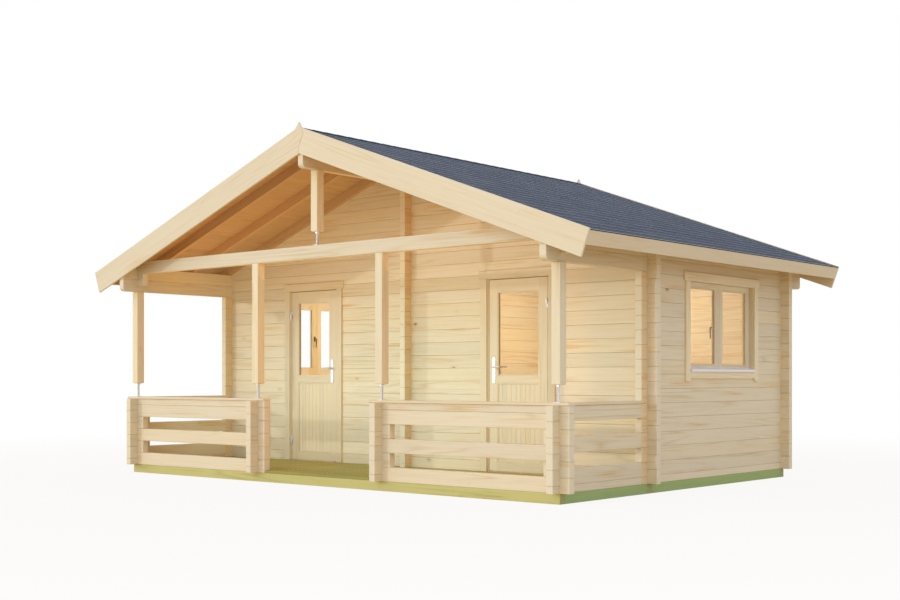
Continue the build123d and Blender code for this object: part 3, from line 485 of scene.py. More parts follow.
class GrowTree:
    """A Geometry Nodes tree with named inputs."""

    def __init__(self, name: str, sockets: dict[str, str], takes_mesh: bool = False) -> None:
        """Makes the tree's group and its sockets.

        Args:
            name: name of the group.
            sockets: input label to the short name of its socket type.
            takes_mesh: whether the tree starts from the holder's own points.
        """
        self.group = bpy.data.node_groups.new(name, "GeometryNodeTree")
        face = self.group.interface
        if takes_mesh:
            face.new_socket(name="Points", in_out="INPUT", socket_type="NodeSocketGeometry")
        self.ids: dict[str, str] = {}
        for label, kind in sockets.items():
            made = face.new_socket(name=label, in_out="INPUT", socket_type="NodeSocket" + kind)
            self.ids[label] = made.identifier
        face.new_socket(name="Mesh", in_out="OUTPUT", socket_type="NodeSocketGeometry")
        self.graph = NodeGraph(self.group)
        self.source = self.group.nodes.new("NodeGroupInput")
        self.sink = self.group.nodes.new("NodeGroupOutput")
        self.made: dict[tuple, bpy.types.Mesh] = {}

    def value(self, label: str) -> Socket:
        """Returns the socket of a named input."""
        return self.source.outputs[label]

    def close(self, instances: Node, end_selection: Socket | None = None) -> None:
        """Gives every instance a tone, makes it real and sets its finish.

        Args:
            instances: node with the placed instances.
            end_selection: faces that take the end finish, if the tree has one.
        """
        graph = self.graph
        limits = {2: 0.0, 3: 1.0, 8: self.value("Seed")}
        tone = graph.add("FunctionNodeRandomValue", limits, data_type="FLOAT")
        named = graph.add(
            "GeometryNodeStoreNamedAttribute",
            {"Geometry": instances, "Name": "tone", "Value": tone.outputs[1]},
            data_type="FLOAT",
            domain="INSTANCE",
        )
        real = graph.add("GeometryNodeRealizeInstances", {0: named})
        done = graph.add("GeometryNodeSetMaterial", {"Geometry": real, "Material": self.value("Finish")})
        if end_selection is not None:
            inputs = {"Geometry": done, "Selection": end_selection, "Material": self.value("End Finish")}
            done = graph.add("GeometryNodeSetMaterial", inputs)
        self.group.links.new(done.outputs[0], self.sink.inputs[0])

    def grow(self, points: Sequence[Vector] = (), **values: object) -> bpy.types.Mesh:
        """Runs the tree once.

        Args:
            points: points of the holder, for a tree that starts from them.
            values: input label, with _ for a space, to its value.

        Returns:
            The result as a plain mesh, kept for the same values.
        """
        key = (tuple(map(tuple, points)), *sorted((k, getattr(v, "name", v)) for k, v in values.items()))
        if key not in self.made:
            base = bpy.data.meshes.new("holder")
            base.from_pydata([tuple(p) for p in points], [], [])
            holder = show("holder", base)
            modifier = holder.modifiers.new("grow", "NODES")
            modifier.node_group = self.group
            for label, value in values.items():
                modifier[self.ids[label.replace("_", " ")]] = value
            state = bpy.context.evaluated_depsgraph_get()
            self.made[key] = bpy.data.meshes.new_from_object(holder.evaluated_get(state))
            holder.modifiers.clear()
            bpy.data.objects.remove(holder)
            bpy.data.meshes.remove(base)
        return self.made[key]


class BoardRowTree(GrowTree):
    """A row of like boards or logs with eased edges, side by side along local Y."""

    OUTER = 0.9
    CORNER_PULL = 0.29

    def __init__(self) -> None:
        """Builds the tree."""
        sizes = dict.fromkeys(("Length", "Width", "Thickness", "Edge", "Pitch"), "Float")
        rest = {"Count": "Int", "Seed": "Int", "Finish": "Material", "End Finish": "Material"}
        super().__init__("board_row", sizes | rest)
        graph = self.graph
        points = {f"Vertices {axis}": 4 for axis in "XYZ"}
        cube = graph.add("GeometryNodeMeshCube", {"Size": (2.0, 2.0, 2.0)} | points)
        spot = graph.add("ShaderNodeSeparateXYZ", {0: graph.add("GeometryNodeInputPosition")})
        size = [graph.math("ABSOLUTE", spot.outputs[i]) for i in range(3)]
        outer = [graph.math("GREATER_THAN", value, self.OUTER) for value in size]
        count = graph.math("ADD", graph.math("ADD", outer[0], outer[1]), outer[2])
        edge = self.value("Edge")
        on_edge = graph.math("GREATER_THAN", count, 1.5)
        pull = graph.math("MULTIPLY", on_edge, graph.math("MULTIPLY", edge, self.CORNER_PULL))
        place = []
        for i, label in enumerate(("Length", "Width", "Thickness")):
            inset = graph.math("MULTIPLY", outer[i], graph.math("SUBTRACT", pull, edge))
            inset = graph.math("ADD", inset, edge)
            reach = graph.math("SUBTRACT", graph.math("MULTIPLY", self.value(label), 0.5), inset)
            place.append(graph.math("MULTIPLY", graph.math("SIGN", spot.outputs[i]), reach))
        corner = graph.add("ShaderNodeCombineXYZ", dict(enumerate(place)))
        board = graph.add("GeometryNodeSetPosition", {"Geometry": cube, "Position": corner})
        step = graph.add("ShaderNodeCombineXYZ", {1: self.value("Pitch")})
        line = {"Count": self.value("Count"), "Offset": step}
        line = graph.add("GeometryNodeMeshLine", line, mode="OFFSET")
        row = graph.add("GeometryNodeInstanceOnPoints", {"Points": line, "Instance": board})
        normal = graph.add("ShaderNodeSeparateXYZ", {0: graph.add("GeometryNodeInputNormal")})
        ends = graph.math("GREATER_THAN", graph.math("ABSOLUTE", normal.outputs[0]), END_LEAN)
        self.close(row, ends)


class ShingleTree(GrowTree):
    """Overlapping rows of shingle tabs, each row shifted by half a tab; rows follow local Y."""

    TILT = 1.15

    def __init__(self) -> None:
        """Builds the tree."""
        sizes = dict.fromkeys(("Exposure", "Tab", "Slot", "Lap", "Thickness"), "Float")
        rest = {"Rows": "Int", "Columns": "Int", "Seed": "Int", "Finish": "Material"}
        super().__init__("shingle_rows", sizes | rest)
        graph = self.graph
        rows, columns = self.value("Rows"), self.value("Columns")
        tab, exposure, lap = self.value("Tab"), self.value("Exposure"), self.value("Lap")
        long = graph.math("MULTIPLY", graph.math("SUBTRACT", columns, 1.0), tab)
        deep = graph.math("MULTIPLY", graph.math("SUBTRACT", rows, 1.0), exposure)
        inputs = {"Size X": long, "Size Y": deep, "Vertices X": columns, "Vertices Y": rows}
        grid = graph.add("GeometryNodeMeshGrid", inputs)
        spot = graph.add("ShaderNodeSeparateXYZ", {0: graph.add("GeometryNodeInputPosition")})
        down = graph.math("ADD", spot.outputs[1], graph.math("MULTIPLY", deep, 0.5))
        row = graph.math("ROUND", graph.math("DIVIDE", down, exposure))
        odd = graph.math("MODULO", row, 2.0)
        shift = graph.math("MULTIPLY", graph.math("MULTIPLY", odd, tab), 0.5)
        moved = graph.add("ShaderNodeCombineXYZ", {0: graph.math("ADD", spot.outputs[0], shift), 1: down})
        grid = graph.add("GeometryNodeSetPosition", {"Geometry": grid.outputs[0], "Position": moved})
        thick = self.value("Thickness")
        width = graph.math("SUBTRACT", tab, self.value("Slot"))
        size = graph.add("ShaderNodeCombineXYZ", {0: width, 1: lap, 2: thick})
        body = graph.add("GeometryNodeMeshCube", {"Size": size})
        lower = graph.math("GREATER_THAN", spot.outputs[1], 0.0)
        inputs = {"Geometry": body.outputs[0], "Name": "lower_edge", "Value": lower}
        body = graph.add("GeometryNodeStoreNamedAttribute", inputs, data_type="FLOAT", domain="POINT")
        tilt = graph.math("ARCTAN2", graph.math("MULTIPLY", thick, self.TILT), lap)
        turn = graph.add("ShaderNodeCombineXYZ", {0: tilt})
        inputs = {"Points": grid, "Instance": body.outputs[0], "Rotation": turn}
        self.close(graph.add("GeometryNodeInstanceOnPoints", inputs))


class RidgeCapTree(GrowTree):
    """Folded caps lapped along the ridge, following local Y."""

    TILT = 1.1

    def __init__(self) -> None:
        """Builds the tree."""
        sizes = dict.fromkeys(("Width", "Lap", "Pitch", "Thickness", "Slope"), "Float")
        super().__init__("ridge_caps", sizes | {"Count": "Int", "Seed": "Int", "Finish": "Material"})
        graph = self.graph
        thick, lap = self.value("Thickness"), self.value("Lap")
        size = graph.add("ShaderNodeCombineXYZ", {0: self.value("Width"), 1: lap, 2: thick})
        cap = graph.add("GeometryNodeMeshCube", {"Size": size, "Vertices X": 5})
        spot = graph.add("ShaderNodeSeparateXYZ", {0: graph.add("GeometryNodeInputPosition")})
        fall = graph.math("MULTIPLY", graph.math("ABSOLUTE", spot.outputs[0]), self.value("Slope"))
        drop = graph.add("ShaderNodeCombineXYZ", {2: graph.math("MULTIPLY", fall, -1.0)})
        cap = graph.add("GeometryNodeSetPosition", {"Geometry": cap.outputs[0], "Offset": drop})
        step = graph.add("ShaderNodeCombineXYZ", {1: self.value("Pitch")})
        line = {"Count": self.value("Count"), "Offset": step}
        line = graph.add("GeometryNodeMeshLine", line, mode="OFFSET")
        tilt = graph.math("ARCTAN2", graph.math("MULTIPLY", thick, self.TILT), lap)
        turn = graph.add("ShaderNodeCombineXYZ", {0: graph.math("MULTIPLY", tilt, -1.0)})
        inputs = {"Points": line, "Instance": cap, "Rotation": turn}
        self.close(graph.add("GeometryNodeInstanceOnPoints", inputs))


class ScrewTree(GrowTree):
    """Flat countersunk screw heads on given points, all facing one way."""

    TOP_SHARE = 0.8
    SIDES = 10

    def __init__(self) -> None:
        """Builds the tree."""
        sockets = {"Radius": "Float", "Height": "Float", "Facing": "Vector"}
        super().__init__("screw_heads", sockets | {"Seed": "Int", "Finish": "Material"}, takes_mesh=True)
        graph = self.graph
        rim, height = self.value("Radius"), self.value("Height")
        inner = graph.math("MULTIPLY", rim, self.TOP_SHARE)
        inputs = {"Vertices": self.SIDES, "Radius Top": inner, "Radius Bottom": rim, "Depth": height}
        head = graph.add("GeometryNodeMeshCone", inputs)
        turn = graph.add("FunctionNodeAlignRotationToVector", {"Vector": self.value("Facing")}, axis="Z")
        inputs = {"Points": self.source.outputs["Points"], "Instance": head.outputs[0], "Rotation": turn}
        self.close(graph.add("GeometryNodeInstanceOnPoints", inputs))


BOARDS = BoardRowTree()
SHINGLES = ShingleTree()
RIDGE_CAPS = RidgeCapTree()
SCREWS = ScrewTree()


def axes(along: Vector, across: Vector, centre: Vector = Vector()) -> Matrix:
    """Returns the frame of a board from the directions of its grain and width."""
    turn = Matrix((along, across, along.cross(across))).transposed()
    return Matrix.Translation(centre) @ turn.to_4x4()


def slice_off(part: bmesh.types.BMesh, point: Vector, normal: Vector) -> None:
    """Cuts off what lies past a plane and closes the cut.

    Args:
        part: mesh to cut.
        point: point on the plane.
        normal: side that is taken off.
    """
    geometry = part.verts[:] + part.edges[:] + part.faces[:]
    bmesh.ops.bisect_plane(part, geom=geometry, dist=1e-6, plane_co=point, plane_no=normal, clear_outer=True)
    rim = [edge for edge in part.edges if edge.is_boundary]
    if rim:
        bmesh.ops.holes_fill(part, edges=rim, sides=0)


def nose_planes(ends: Pair, low: float, radius: float) -> list[Plane]:
    """Planes that round the lower corners of both ends of a beam.

    Args:
        ends: Y of the front and the rear end.
        low: underside of the beam.
        radius: radius of the rounding.

    Returns:
        Tangent planes of the rounding.
    """
    planes = []
    for end, inward in zip(ends, (1, -1)):
        centre = Vector((0, end + inward * radius, low + radius))
        for degrees in NOSE_TURNS:
            turn = math.radians(degrees)
            out = Vector((0, -inward * math.cos(turn), -math.sin(turn)))
            planes.append(Plane(centre + out * radius, out))
    return planes


def both_ends(low: float, high: float, width: float) -> list[Pair]:
    """Returns the outer and inner limit of a strip at each end of a span."""
    return [(low, low + width), (high, high - width)]


def joint_point(name: str) -> Vector:
    """Returns a point on the axis of a joint."""
    return Vector(next(joint for joint in frame["joints"] if joint["name"] == name)["pos_m"])


def islands(node: str) -> list[Box]:
    """Boxes of the separate solids in a CAD node.

    Args:
        node: name of the node.

    Returns:
        Lowest and highest corner of each solid, sorted.
    """
    copy = bmesh.new()
    copy.from_mesh(frame["nodes"][node].data)
    bmesh.ops.remove_doubles(copy, verts=copy.verts[:], dist=1e-5)
    left = set(copy.verts)
    boxes = []
    while left:
        group = [left.pop()]
        for vert in group:
            for edge in vert.link_edges:
                other = edge.other_vert(vert)
                if other in left:
                    left.remove(other)
                    group.append(other)
        low = Vector(min(v.co[i] for v in group) for i in range(3))
        high = Vector(max(v.co[i] for v in group) for i in range(3))
        boxes.append((low, high))
    copy.free()
    return sorted(boxes, key=lambda box: tuple(box[0]))


def show(name: str, data: bpy.types.ID) -> bpy.types.Object:
    """Makes an object of some data, links it to the scene and returns it."""
    bpy.context.scene.collection.objects.link(made := bpy.data.objects.new(name, data))
    return made


class Bench:
    """Collects finished parts and turns them into one piece of the cabin."""

    def __init__(self, name: str) -> None:
        """Starts an empty piece.

        Args:
            name: name of the piece.
        """
        self.name = name
        self.mesh = bmesh.new()
        self.materials: list[bpy.types.Material] = []
        self.chance = random.Random(name)

    def index(self, finish: Finish) -> int:
        """Finds the piece's material index for a finish.

        Args:
            finish: the finish.

        Returns:
            The index, new at first use.
        """
        material = finish.material()
        if material not in self.materials:
            self.materials.append(material)
        return self.materials.index(material)

    def add(
        self, mesh: bpy.types.Mesh, place: Matrix, wood: Wood, cuts: Iterable[Plane] = (),
        smooth: bool = False, end_axis: int = 0,
    ) -> None:
        """Adds a mesh given in its own frame, with its grain along local X.

        Args:
            mesh: the mesh, left as it is.
            place: where it goes.
            wood: finishes along and across the grain.
            cuts: planes of the cabin's frame that trim it.
            smooth: whether its faces shade as one round surface.
            end_axis: local axis whose two ends take the end finish.
        """
        part = bmesh.new()
        part.from_mesh(mesh)
        back = place.inverted()
        for cut in cuts:
            slice_off(part, back @ cut.point, back.to_3x3() @ cut.normal)
        tone = part.verts.layers.float.get("tone") or part.verts.layers.float.new("tone")
        grain = part.loops.layers.uv.get("grain") or part.loops.layers.uv.new("grain")
        part.normal_update()
        along, across, chance = self.index(wood.face), self.index(wood.end), self.chance.random()
        for vert in part.verts:
            vert[tone] = (vert[tone] + chance) % 1.0
        for face in part.faces:
            lean = [abs(value) for value in face.normal]
            is_end = lean[end_axis] > END_LEAN
            face.material_index = across if is_end else along
            face.smooth = smooth
            for loop in face.loops:
                spot, own = loop.vert.co, face.verts[0][tone]
                if is_end:
                    pair = (spot.y + END_SHIFT[0], spot.z + END_SHIFT[1])
                else:
                    pair = (spot.x, spot.y if lean[2] >= lean[1] else spot.z + SIDE_SHIFT)
                loop[grain].uv = [value + own * shift for value, shift in zip(pair, TONE_SHIFT)]
        for edge in part.edges if smooth else ():
            edge.smooth = edge.calc_face_angle(0.0) < CREASE
        part.transform(place)
        done = bpy.data.meshes.new("part")
        part.to_mesh(done)
        part.free()
        self.mesh.from_mesh(done)
        bpy.data.meshes.remove(done)

    def boards(
        self, wood: Wood, place: Matrix, size: Triple, count: int = 1, pitch: float = 0.0,
        edge: float = 0.002, cuts: Iterable[Plane] = (),
    ) -> None:
        """Adds a row of boards or logs.

        Args:
            wood: finishes of the boards.
            place: frame of the first board: grain, width and thickness directions.
            size: length, width and thickness of a board.
            count: number of boards.
            pitch: spacing along the width.
            edge: easing of the edges.
            cuts: planes that trim the row.
        """
        length, width, thickness = size
        mesh = BOARDS.grow(
            Length=length, Width=width, Thickness=thickness, Edge=edge, Pitch=pitch, Count=count, Seed=7,
            Finish=wood.face.material(), End_Finish=wood.end.material(),
        )
        self.add(mesh, place, wood, cuts)

    def board(
        self, wood: Wood, low: Sequence[float], high: Sequence[float], along: Vector, edge: float = 0.002,
        cuts: Iterable[Plane] = (),
    ) -> None:
        """Adds one board that fills a box.

        Args:
            wood: finishes of the board.
            low: one corner.
            high: the opposite corner.
            along: direction of the grain.
            edge: easing of the edges.
            cuts: planes that trim the board.
        """
        span = Vector(abs(a - b) for a, b in zip(low, high))
        middle = (Vector(low) + Vector(high)) / 2
        rest = sorted((axis for axis in (X, Y, Z) if axis != along), key=lambda axis: -span.dot(axis))
        size = (span.dot(along), span.dot(rest[0]), span.dot(rest[1]))
        self.boards(wood, axes(along, rest[0], middle), size, edge=min(edge, size[2] * EDGE_SHARE), cuts=cuts)

    def take(self, part: bmesh.types.BMesh, place: Matrix, wood: Wood, smooth: bool = False) -> None:
        """Adds a part that was just shaped, and frees it.

        Args:
            part: the part in its own frame.
            place: where it goes.
            wood: finishes along and across the grain.
            smooth: whether its faces shade as one round surface.
        """
        done = bpy.data.meshes.new("part")
        part.to_mesh(done)
        part.free()
        self.add(done, place, wood, smooth=smooth)
        bpy.data.meshes.remove(done)

    def slab(
        self, wood: Wood, outline: Sequence[Pair], place: Matrix, thickness: float, edge: float = 0.002,
        steps: int = 2,
    ) -> None:
        """Adds a flat plate of any outline with eased edges.

        Args:
            wood: finishes of the plate.
            outline: corners in the plate's own X and Y.
            place: where it goes.
            thickness: thickness, half on each side of its plane.
            edge: easing of the edges.
            steps: segments of the easing.
        """
        part = bmesh.new()
        face = part.faces.new([part.verts.new((x, y, -thickness / 2)) for x, y in outline])
        grown = bmesh.ops.extrude_face_region(part, geom=[face])
        moved = [item for item in grown["geom"] if isinstance(item, bmesh.types.BMVert)]
        bmesh.ops.translate(part, verts=moved, vec=(0, 0, thickness))
        bmesh.ops.recalc_face_normals(part, faces=part.faces[:])
        sharp = [item for item in part.edges if item.calc_face_angle(0.0) > BEVEL_ANGLE]
        bmesh.ops.bevel(part, geom=sharp, offset=edge, segments=steps, profile=0.5, affect="EDGES")
        self.take(part, place, wood)

    def turned(
        self, finish: Finish, profile: Sequence[Pair], place: Matrix, sides: int = 20, smooth: bool = True
    ) -> None:
        """Adds a turned part.

        Args:
            finish: its finish.
            profile: radius and height from bottom to top, closed at both ends by a radius of 0.
            place: where its foot goes, with its axis along local Z.
            sides: number of sides.
            smooth: whether it shades as round.
        """
        part = bmesh.new()
        turns = [2 * math.pi * k / sides for k in range(sides)]
        rings = []
        for radius, height in profile:
            ring = [(radius * math.cos(turn), radius * math.sin(turn)) for turn in turns]
            rings.append([part.verts.new((*spot, height)) for spot in (ring if radius else [(0, 0)])])
        for low, high in zip(rings, rings[1:]):
            for k in range(sides):
                corners = [low[k % len(low)], low[(k + 1) % len(low)]]
                corners += [high[(k + 1) % len(high)], high[k % len(high)]]
                part.faces.new(list(dict.fromkeys(corners)))
        bmesh.ops.recalc_face_normals(part, faces=part.faces[:])
        self.take(part, place, plain(finish), smooth)

    def swept(
        self, finish: Finish, path: Sequence[Vector], radius: float, shares: Sequence[float] | None = None
    ) -> None:
        """Adds a smooth round bar along a path.

        Args:
            finish: its finish.
            path: control points of its centre line.
            radius: radius of the bar.
            shares: share of the radius at each control point, all 1 if left out.
        """
        curve = bpy.data.curves.new("path", "CURVE")
        curve.dimensions = "3D"
        curve.bevel_depth = radius
        curve.bevel_resolution = 3
        curve.resolution_u = 8
        curve.use_fill_caps = True
        line = curve.splines.new("NURBS")
        line.points.add(len(path) - 1)
        for point, spot, share in zip(line.points, path, shares or [1.0] * len(path)):
            point.co = (*spot, 1.0)
            point.radius = share
        line.order_u = 3
        line.use_endpoint_u = True
        holder = bpy.data.objects.new("path", curve)
        mesh = bpy.data.meshes.new_from_object(holder)
        bpy.data.objects.remove(holder)
        bpy.data.curves.remove(curve)
        self.add(mesh, Matrix(), plain(finish), smooth=True)
        bpy.data.meshes.remove(mesh)

    def screws(
        self, finish: Finish, points: Sequence[Vector], facing: Vector, radius: float = 0.0045
    ) -> None:
        """Adds screw heads on some points, facing one way."""
        sizes = {"Radius": radius, "Height": SCREW_HEIGHT, "Facing": tuple(facing), "Seed": 3}
        self.add(SCREWS.grow(points, Finish=finish.material(), **sizes), Matrix(), plain(finish))

    def piece(self, slot: str, *nodes: str, body: str = "cabin") -> None:
        """Makes the piece and hands it to the frame.

        Args:
            slot: the record's material slot of its finish; not used.
            nodes: CAD nodes that it stands for.
            body: body that it rides on.
        """
        mesh = bpy.data.meshes.new(self.name)
        self.mesh.to_mesh(mesh)
        self.mesh.free()
        for material in self.materials:
            mesh.materials.append(material)
        made = show(self.name, mesh)
        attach(made, body)
        if nodes:
            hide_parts(*nodes)
        triangles = sum(len(face.vertices) - 2 for face in mesh.polygons)
        REPORT.info("%s: %d triangles on %s", self.name, triangles, body)


@dataclass(frozen=True)
class LogRow:
    """Logs of one length stacked on each other, or one half log."""

    ends: Pair
    first: float
    count: float = 1
    cuts: Sequence[Plane] = ()
    wood: Wood = LOG_WOOD


@dataclass
class LogWork:
    """Interlocking log walls, railings and beams, log by log."""

    course: float = 0.132
    thickness: float = 0.070
    stub: float = 0.098
    edge: float = 0.005
    play: float = 0.0006
    nose: float = 0.050
    pitch: float = math.radians(20.0)
    half: float = 0.5
    rails: tuple[int, ...] = (0, 2, 4)
    spacers: tuple[int, ...] = (1, 3)
    entry_logs: int = 5
    base: float = field(init=False)
    reach: float = field(init=False)

    def __post_init__(self) -> None:
        """Reads the height of the lowest log from the frame."""
        self.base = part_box("partition_wall")[0].z
        self.reach = 2 * self.stub + self.thickness

    def level(self, count: float) -> float:
        """Returns the height of a course line above the ground."""
        return self.base + count * self.course

    def courses(self, height: float) -> int:
        """Returns the number of courses that reach a height."""
        return math.ceil((height - self.base) / self.course)

    def stack(self, bench: Bench, along: Vector, middle: float, row: LogRow) -> None:
        """Stacks the logs of one row.

        Args:
            bench: piece that takes them.
            along: direction of the logs.
            middle: centre line across it.
            row: the logs.
        """
        start, stop = row.ends
        height = self.course * min(row.count, 1.0)
        across = Y if along == X else X
        low = along * ((start + stop) / 2) + across * middle + Z * (self.level(row.first) + height / 2)
        size = (stop - start, height - self.play, self.thickness)
        number = max(1, round(row.count))
        bench.boards(row.wood, axes(along, Z, low), size, number, self.course, self.edge, row.cuts)

    def lay(self, name: str, node: str, along: Vector, rows: Iterable[LogRow]) -> None:
        """Makes a piece of rows that share the centre line of a node.

        Args:
            name: name of the piece.
            node: CAD node that it stands for.
            along: direction of the logs.
            rows: the logs from the first to the last.
        """
        low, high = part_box(node)
        axis = 1 if along == X else 0
        bench = Bench(name)
        for row in rows:
            self.stack(bench, along, (low[axis] + high[axis]) / 2, row)
        bench.piece("log_wood", node)

    def stubbed(self, ends: Pair, first: float, count: float) -> list[LogRow]:
        """Returns rows front to back whose front ends stick out on the terrace in a browner pine that is
        painted shade.
        """
        seam = ends[0] + self.stub + self.thickness / 2
        return [LogRow((ends[0], seam), first, count, wood=PAINTED_SHADE_STUB_WOOD), LogRow((seam, ends[1]), first, count)]

    def roof_cuts(self, node: str) -> list[Plane]:
        """Returns the planes under the roof that touch the top of a node."""
        top, rise = Vector((0, 0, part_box(node)[1].z)), math.cos(self.pitch)
        return [Plane(top, Vector((side.value * math.sin(self.pitch), 0, rise))) for side in Side]

    def cross_walls(self) -> None:
        """Builds the piers of the front wall, the gable over them and the rear wall."""
        for part in ("left", "middle", "right"):
            node = f"front_wall_{part}"
            low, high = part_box(node)
            row = LogRow((low.x, high.x), 0, round((high.z - low.z) / self.course))
            self.lay(f"front_{part}_logs", node, X, [row])
        for name, node in (("front_gable_logs", "front_gable"), ("rear_logs", "rear_wall")):
            low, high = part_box(node)
            first = round((low.z - self.base) / self.course)
            row = LogRow((low.x, high.x), first, self.courses(high.z) - first, self.roof_cuts(node))
            self.lay(name, node, X, [row])

    def partition(self) -> None:
        """Builds the wall between the rooms and the ridge beam over it."""
        low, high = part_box("partition_wall")
        count = round((high.z - self.level(self.half)) / self.course)
        rows = self.stubbed((low.y, high.y), 0, self.half) + self.stubbed((low.y, high.y), self.half, count)
        self.lay("partition_logs", "partition_wall", Y, rows)
        low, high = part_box("ridge_beam")
        ends = (low.y, high.y)
        cuts = self.roof_cuts("ridge_beam") + nose_planes(ends, low.z, self.nose)
        row = LogRow(ends, (low.z - self.base) / self.course, 2, cuts)
        self.lay("ridge_beam_logs", "ridge_beam", Y, [row])

    def side_wall(self, side: Side) -> None:
        """Builds a side wall round its window, with the wall plate on top.

        Args:
            side: which wall.
        """
        node = f"{side.word}_wall"
        low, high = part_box(node)
        front, rear = (corner.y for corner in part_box("partition_wall"))
        hole = next(
            box for box in islands("window_frames") if max(corner.x * side.value for corner in box) > 0
        )
        sill, head = (round((corner.z - self.level(self.half)) / self.course) for corner in hole)
        rows = self.stubbed((front, rear), 0, self.half) + self.stubbed((front, rear), self.half, sill)
        rows += self.stubbed((front, hole[0].y), sill + self.half, head - sill)
        rows.append(LogRow((hole[1].y, rear), sill + self.half, head - sill))
        ends, plate = (low.y, high.y), head + self.half
        cuts = self.roof_cuts("ridge_beam") + nose_planes(ends, self.level(plate), self.nose)
        rows.append(LogRow(ends, plate, 2, cuts))
        self.lay(f"{side.word}_wall_logs", node, Y, rows)

    def railings(self, side: Side) -> None:
        """Builds the front and the side railing of spaced logs.

        Args:
            side: which half.
        """
        node = f"front_{side.word}_railing"
        low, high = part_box(node)
        whole = (low.x, high.x)
        stubs = ((low.x, low.x + self.reach), (high.x - self.reach, high.x))
        rows = [LogRow(whole, k) for k in self.rails]
        rows += [LogRow(ends, k) for k in self.spacers for ends in stubs]
        self.lay(f"{node}_logs", node, X, rows + [LogRow(whole, self.rails[-1] + 1, self.half)])
        node = f"{side.word}_side_railing"
        low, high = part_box(node)
        whole, stub = (low.y, high.y), (low.y, low.y + self.reach)
        rows = [LogRow(whole, 0, self.half)] + [LogRow(whole, k + self.half) for k in self.rails]
        self.lay(f"{node}_logs", node, Y, rows + [LogRow(stub, k + self.half) for k in self.spacers])

    def crossings(self) -> None:
        """Builds the log stacks at the entry and the tie beam over the terrace."""
        bench = Bench("entry_stack_logs")
        for low, high in islands("entry_stacks"):
            for first, count in ((0, self.half), (self.half, self.entry_logs)):
                self.stack(bench, Y, (low.x + high.x) / 2, LogRow((low.y, high.y), first, count))
        bench.piece("log_wood", "entry_stacks")
        low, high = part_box("tie_beam")
        first = (low.z - self.base) / self.course
        cuts = self.roof_cuts("front_gable")
        stubs = ((low.x, low.x + self.reach), (high.x - self.reach, high.x))
        rows = [LogRow((low.x, high.x), first + 1, 1, cuts)] + [LogRow(ends, first, 1, cuts) for ends in stubs]
        self.lay("tie_beam_logs", "tie_beam", X, rows)

    def build(self) -> None:
        """Builds all the log work."""
        self.cross_walls()
        self.partition()
        for side in Side:
            self.side_wall(side)
            self.railings(side)
        self.crossings()


@dataclass
class Ground:
    """Treated base beams, terrace deck and room floors."""

    deck_board: float = 0.112
    deck_gap: float = 0.005
    deck_play: float = 0.004
    edge: float = 0.003
    floor_board: float = 0.121
    floor_play: float = 0.0006
    floor_edge: float = 0.0025
    screw_pitch: float = 0.52
    screw_inset: float = 0.06
    screw_lean: float = 0.28
    front_depth: float = 0.01

    def base_beams(self) -> None:
        """Builds the base beams; the front one takes a yellower copy of the treated pine, painted sunlight."""
        bench = Bench("base_beams")
        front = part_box("foundation_frame")[0].y + self.front_depth
        for low, high in islands("foundation_frame"):
            along = X if high.x - low.x > high.y - low.y else Y
            # The front beam along X gets the yellower treated pine, painted sunlight.
            wood = PAINTED_SUNLIGHT_TREATED_WOOD if low.y < front and along == X else TREATED_WOOD
            bench.board(wood, low, high, along, self.edge)
        bench.piece("treated_wood", "foundation_frame")

    def terrace_deck(self) -> None:
        """Lays the deck boards from the front wall to the base face, with screws."""
        low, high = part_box("terrace_deck")
        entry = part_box("front_right_railing")[0].x - self.deck_play
        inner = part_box("front_left_railing")[1].y + self.deck_play
        bench = Bench("deck_boards")
        count = int((high.y - inner) / (self.deck_board + self.deck_gap))
        step = (high.y - inner) / count
        middle = (low.z + high.z) / 2
        size = (high.x - low.x, step - self.deck_gap, high.z - low.z)
        place = axes(X, Y, Vector((0, inner + step / 2, middle)))
        bench.boards(DECK_WOOD, place, size, count, step, self.edge)
        short = (2 * entry, inner - low.y - self.deck_gap, size[2])
        place = axes(X, Y, Vector((0, low.y + short[1] / 2, middle)))
        bench.boards(DECK_WOOD, place, short, edge=self.edge)
        leans = (-self.screw_lean, self.screw_lean)
        rows = [inner + step * (k + 0.5) + step * lean for k in range(count) for lean in leans]
        across = int(size[0] / self.screw_pitch)
        start, span = low.x + self.screw_inset, size[0] - 2 * self.screw_inset
        spots = [start + k * span / across for k in range(across + 1)]
        bench.screws(ZINC, [Vector((x, y, high.z)) for x in spots for y in rows], Z)
        bench.piece("treated_wood", "terrace_deck")

    def room_floors(self) -> None:
        """Lays the tongued boards of both rooms."""
        bench = Bench("room_floor_boards")
        for low, high in islands("room_floors"):
            count = round((high.x - low.x) / self.floor_board)
            step = (high.x - low.x) / count
            start = Vector((high.x - step / 2, (low.y + high.y) / 2, (low.z + high.z) / 2))
            size = (high.y - low.y, step - self.floor_play, high.z - low.z)
            bench.boards(FLOOR_WOOD, axes(Y, -X, start), size, count, step, self.floor_edge)
        bench.piece("floor_boards", "room_floors")

    def build(self) -> None:
        """Builds base and floors."""
        self.base_beams()
        self.terrace_deck()
        self.room_floors()


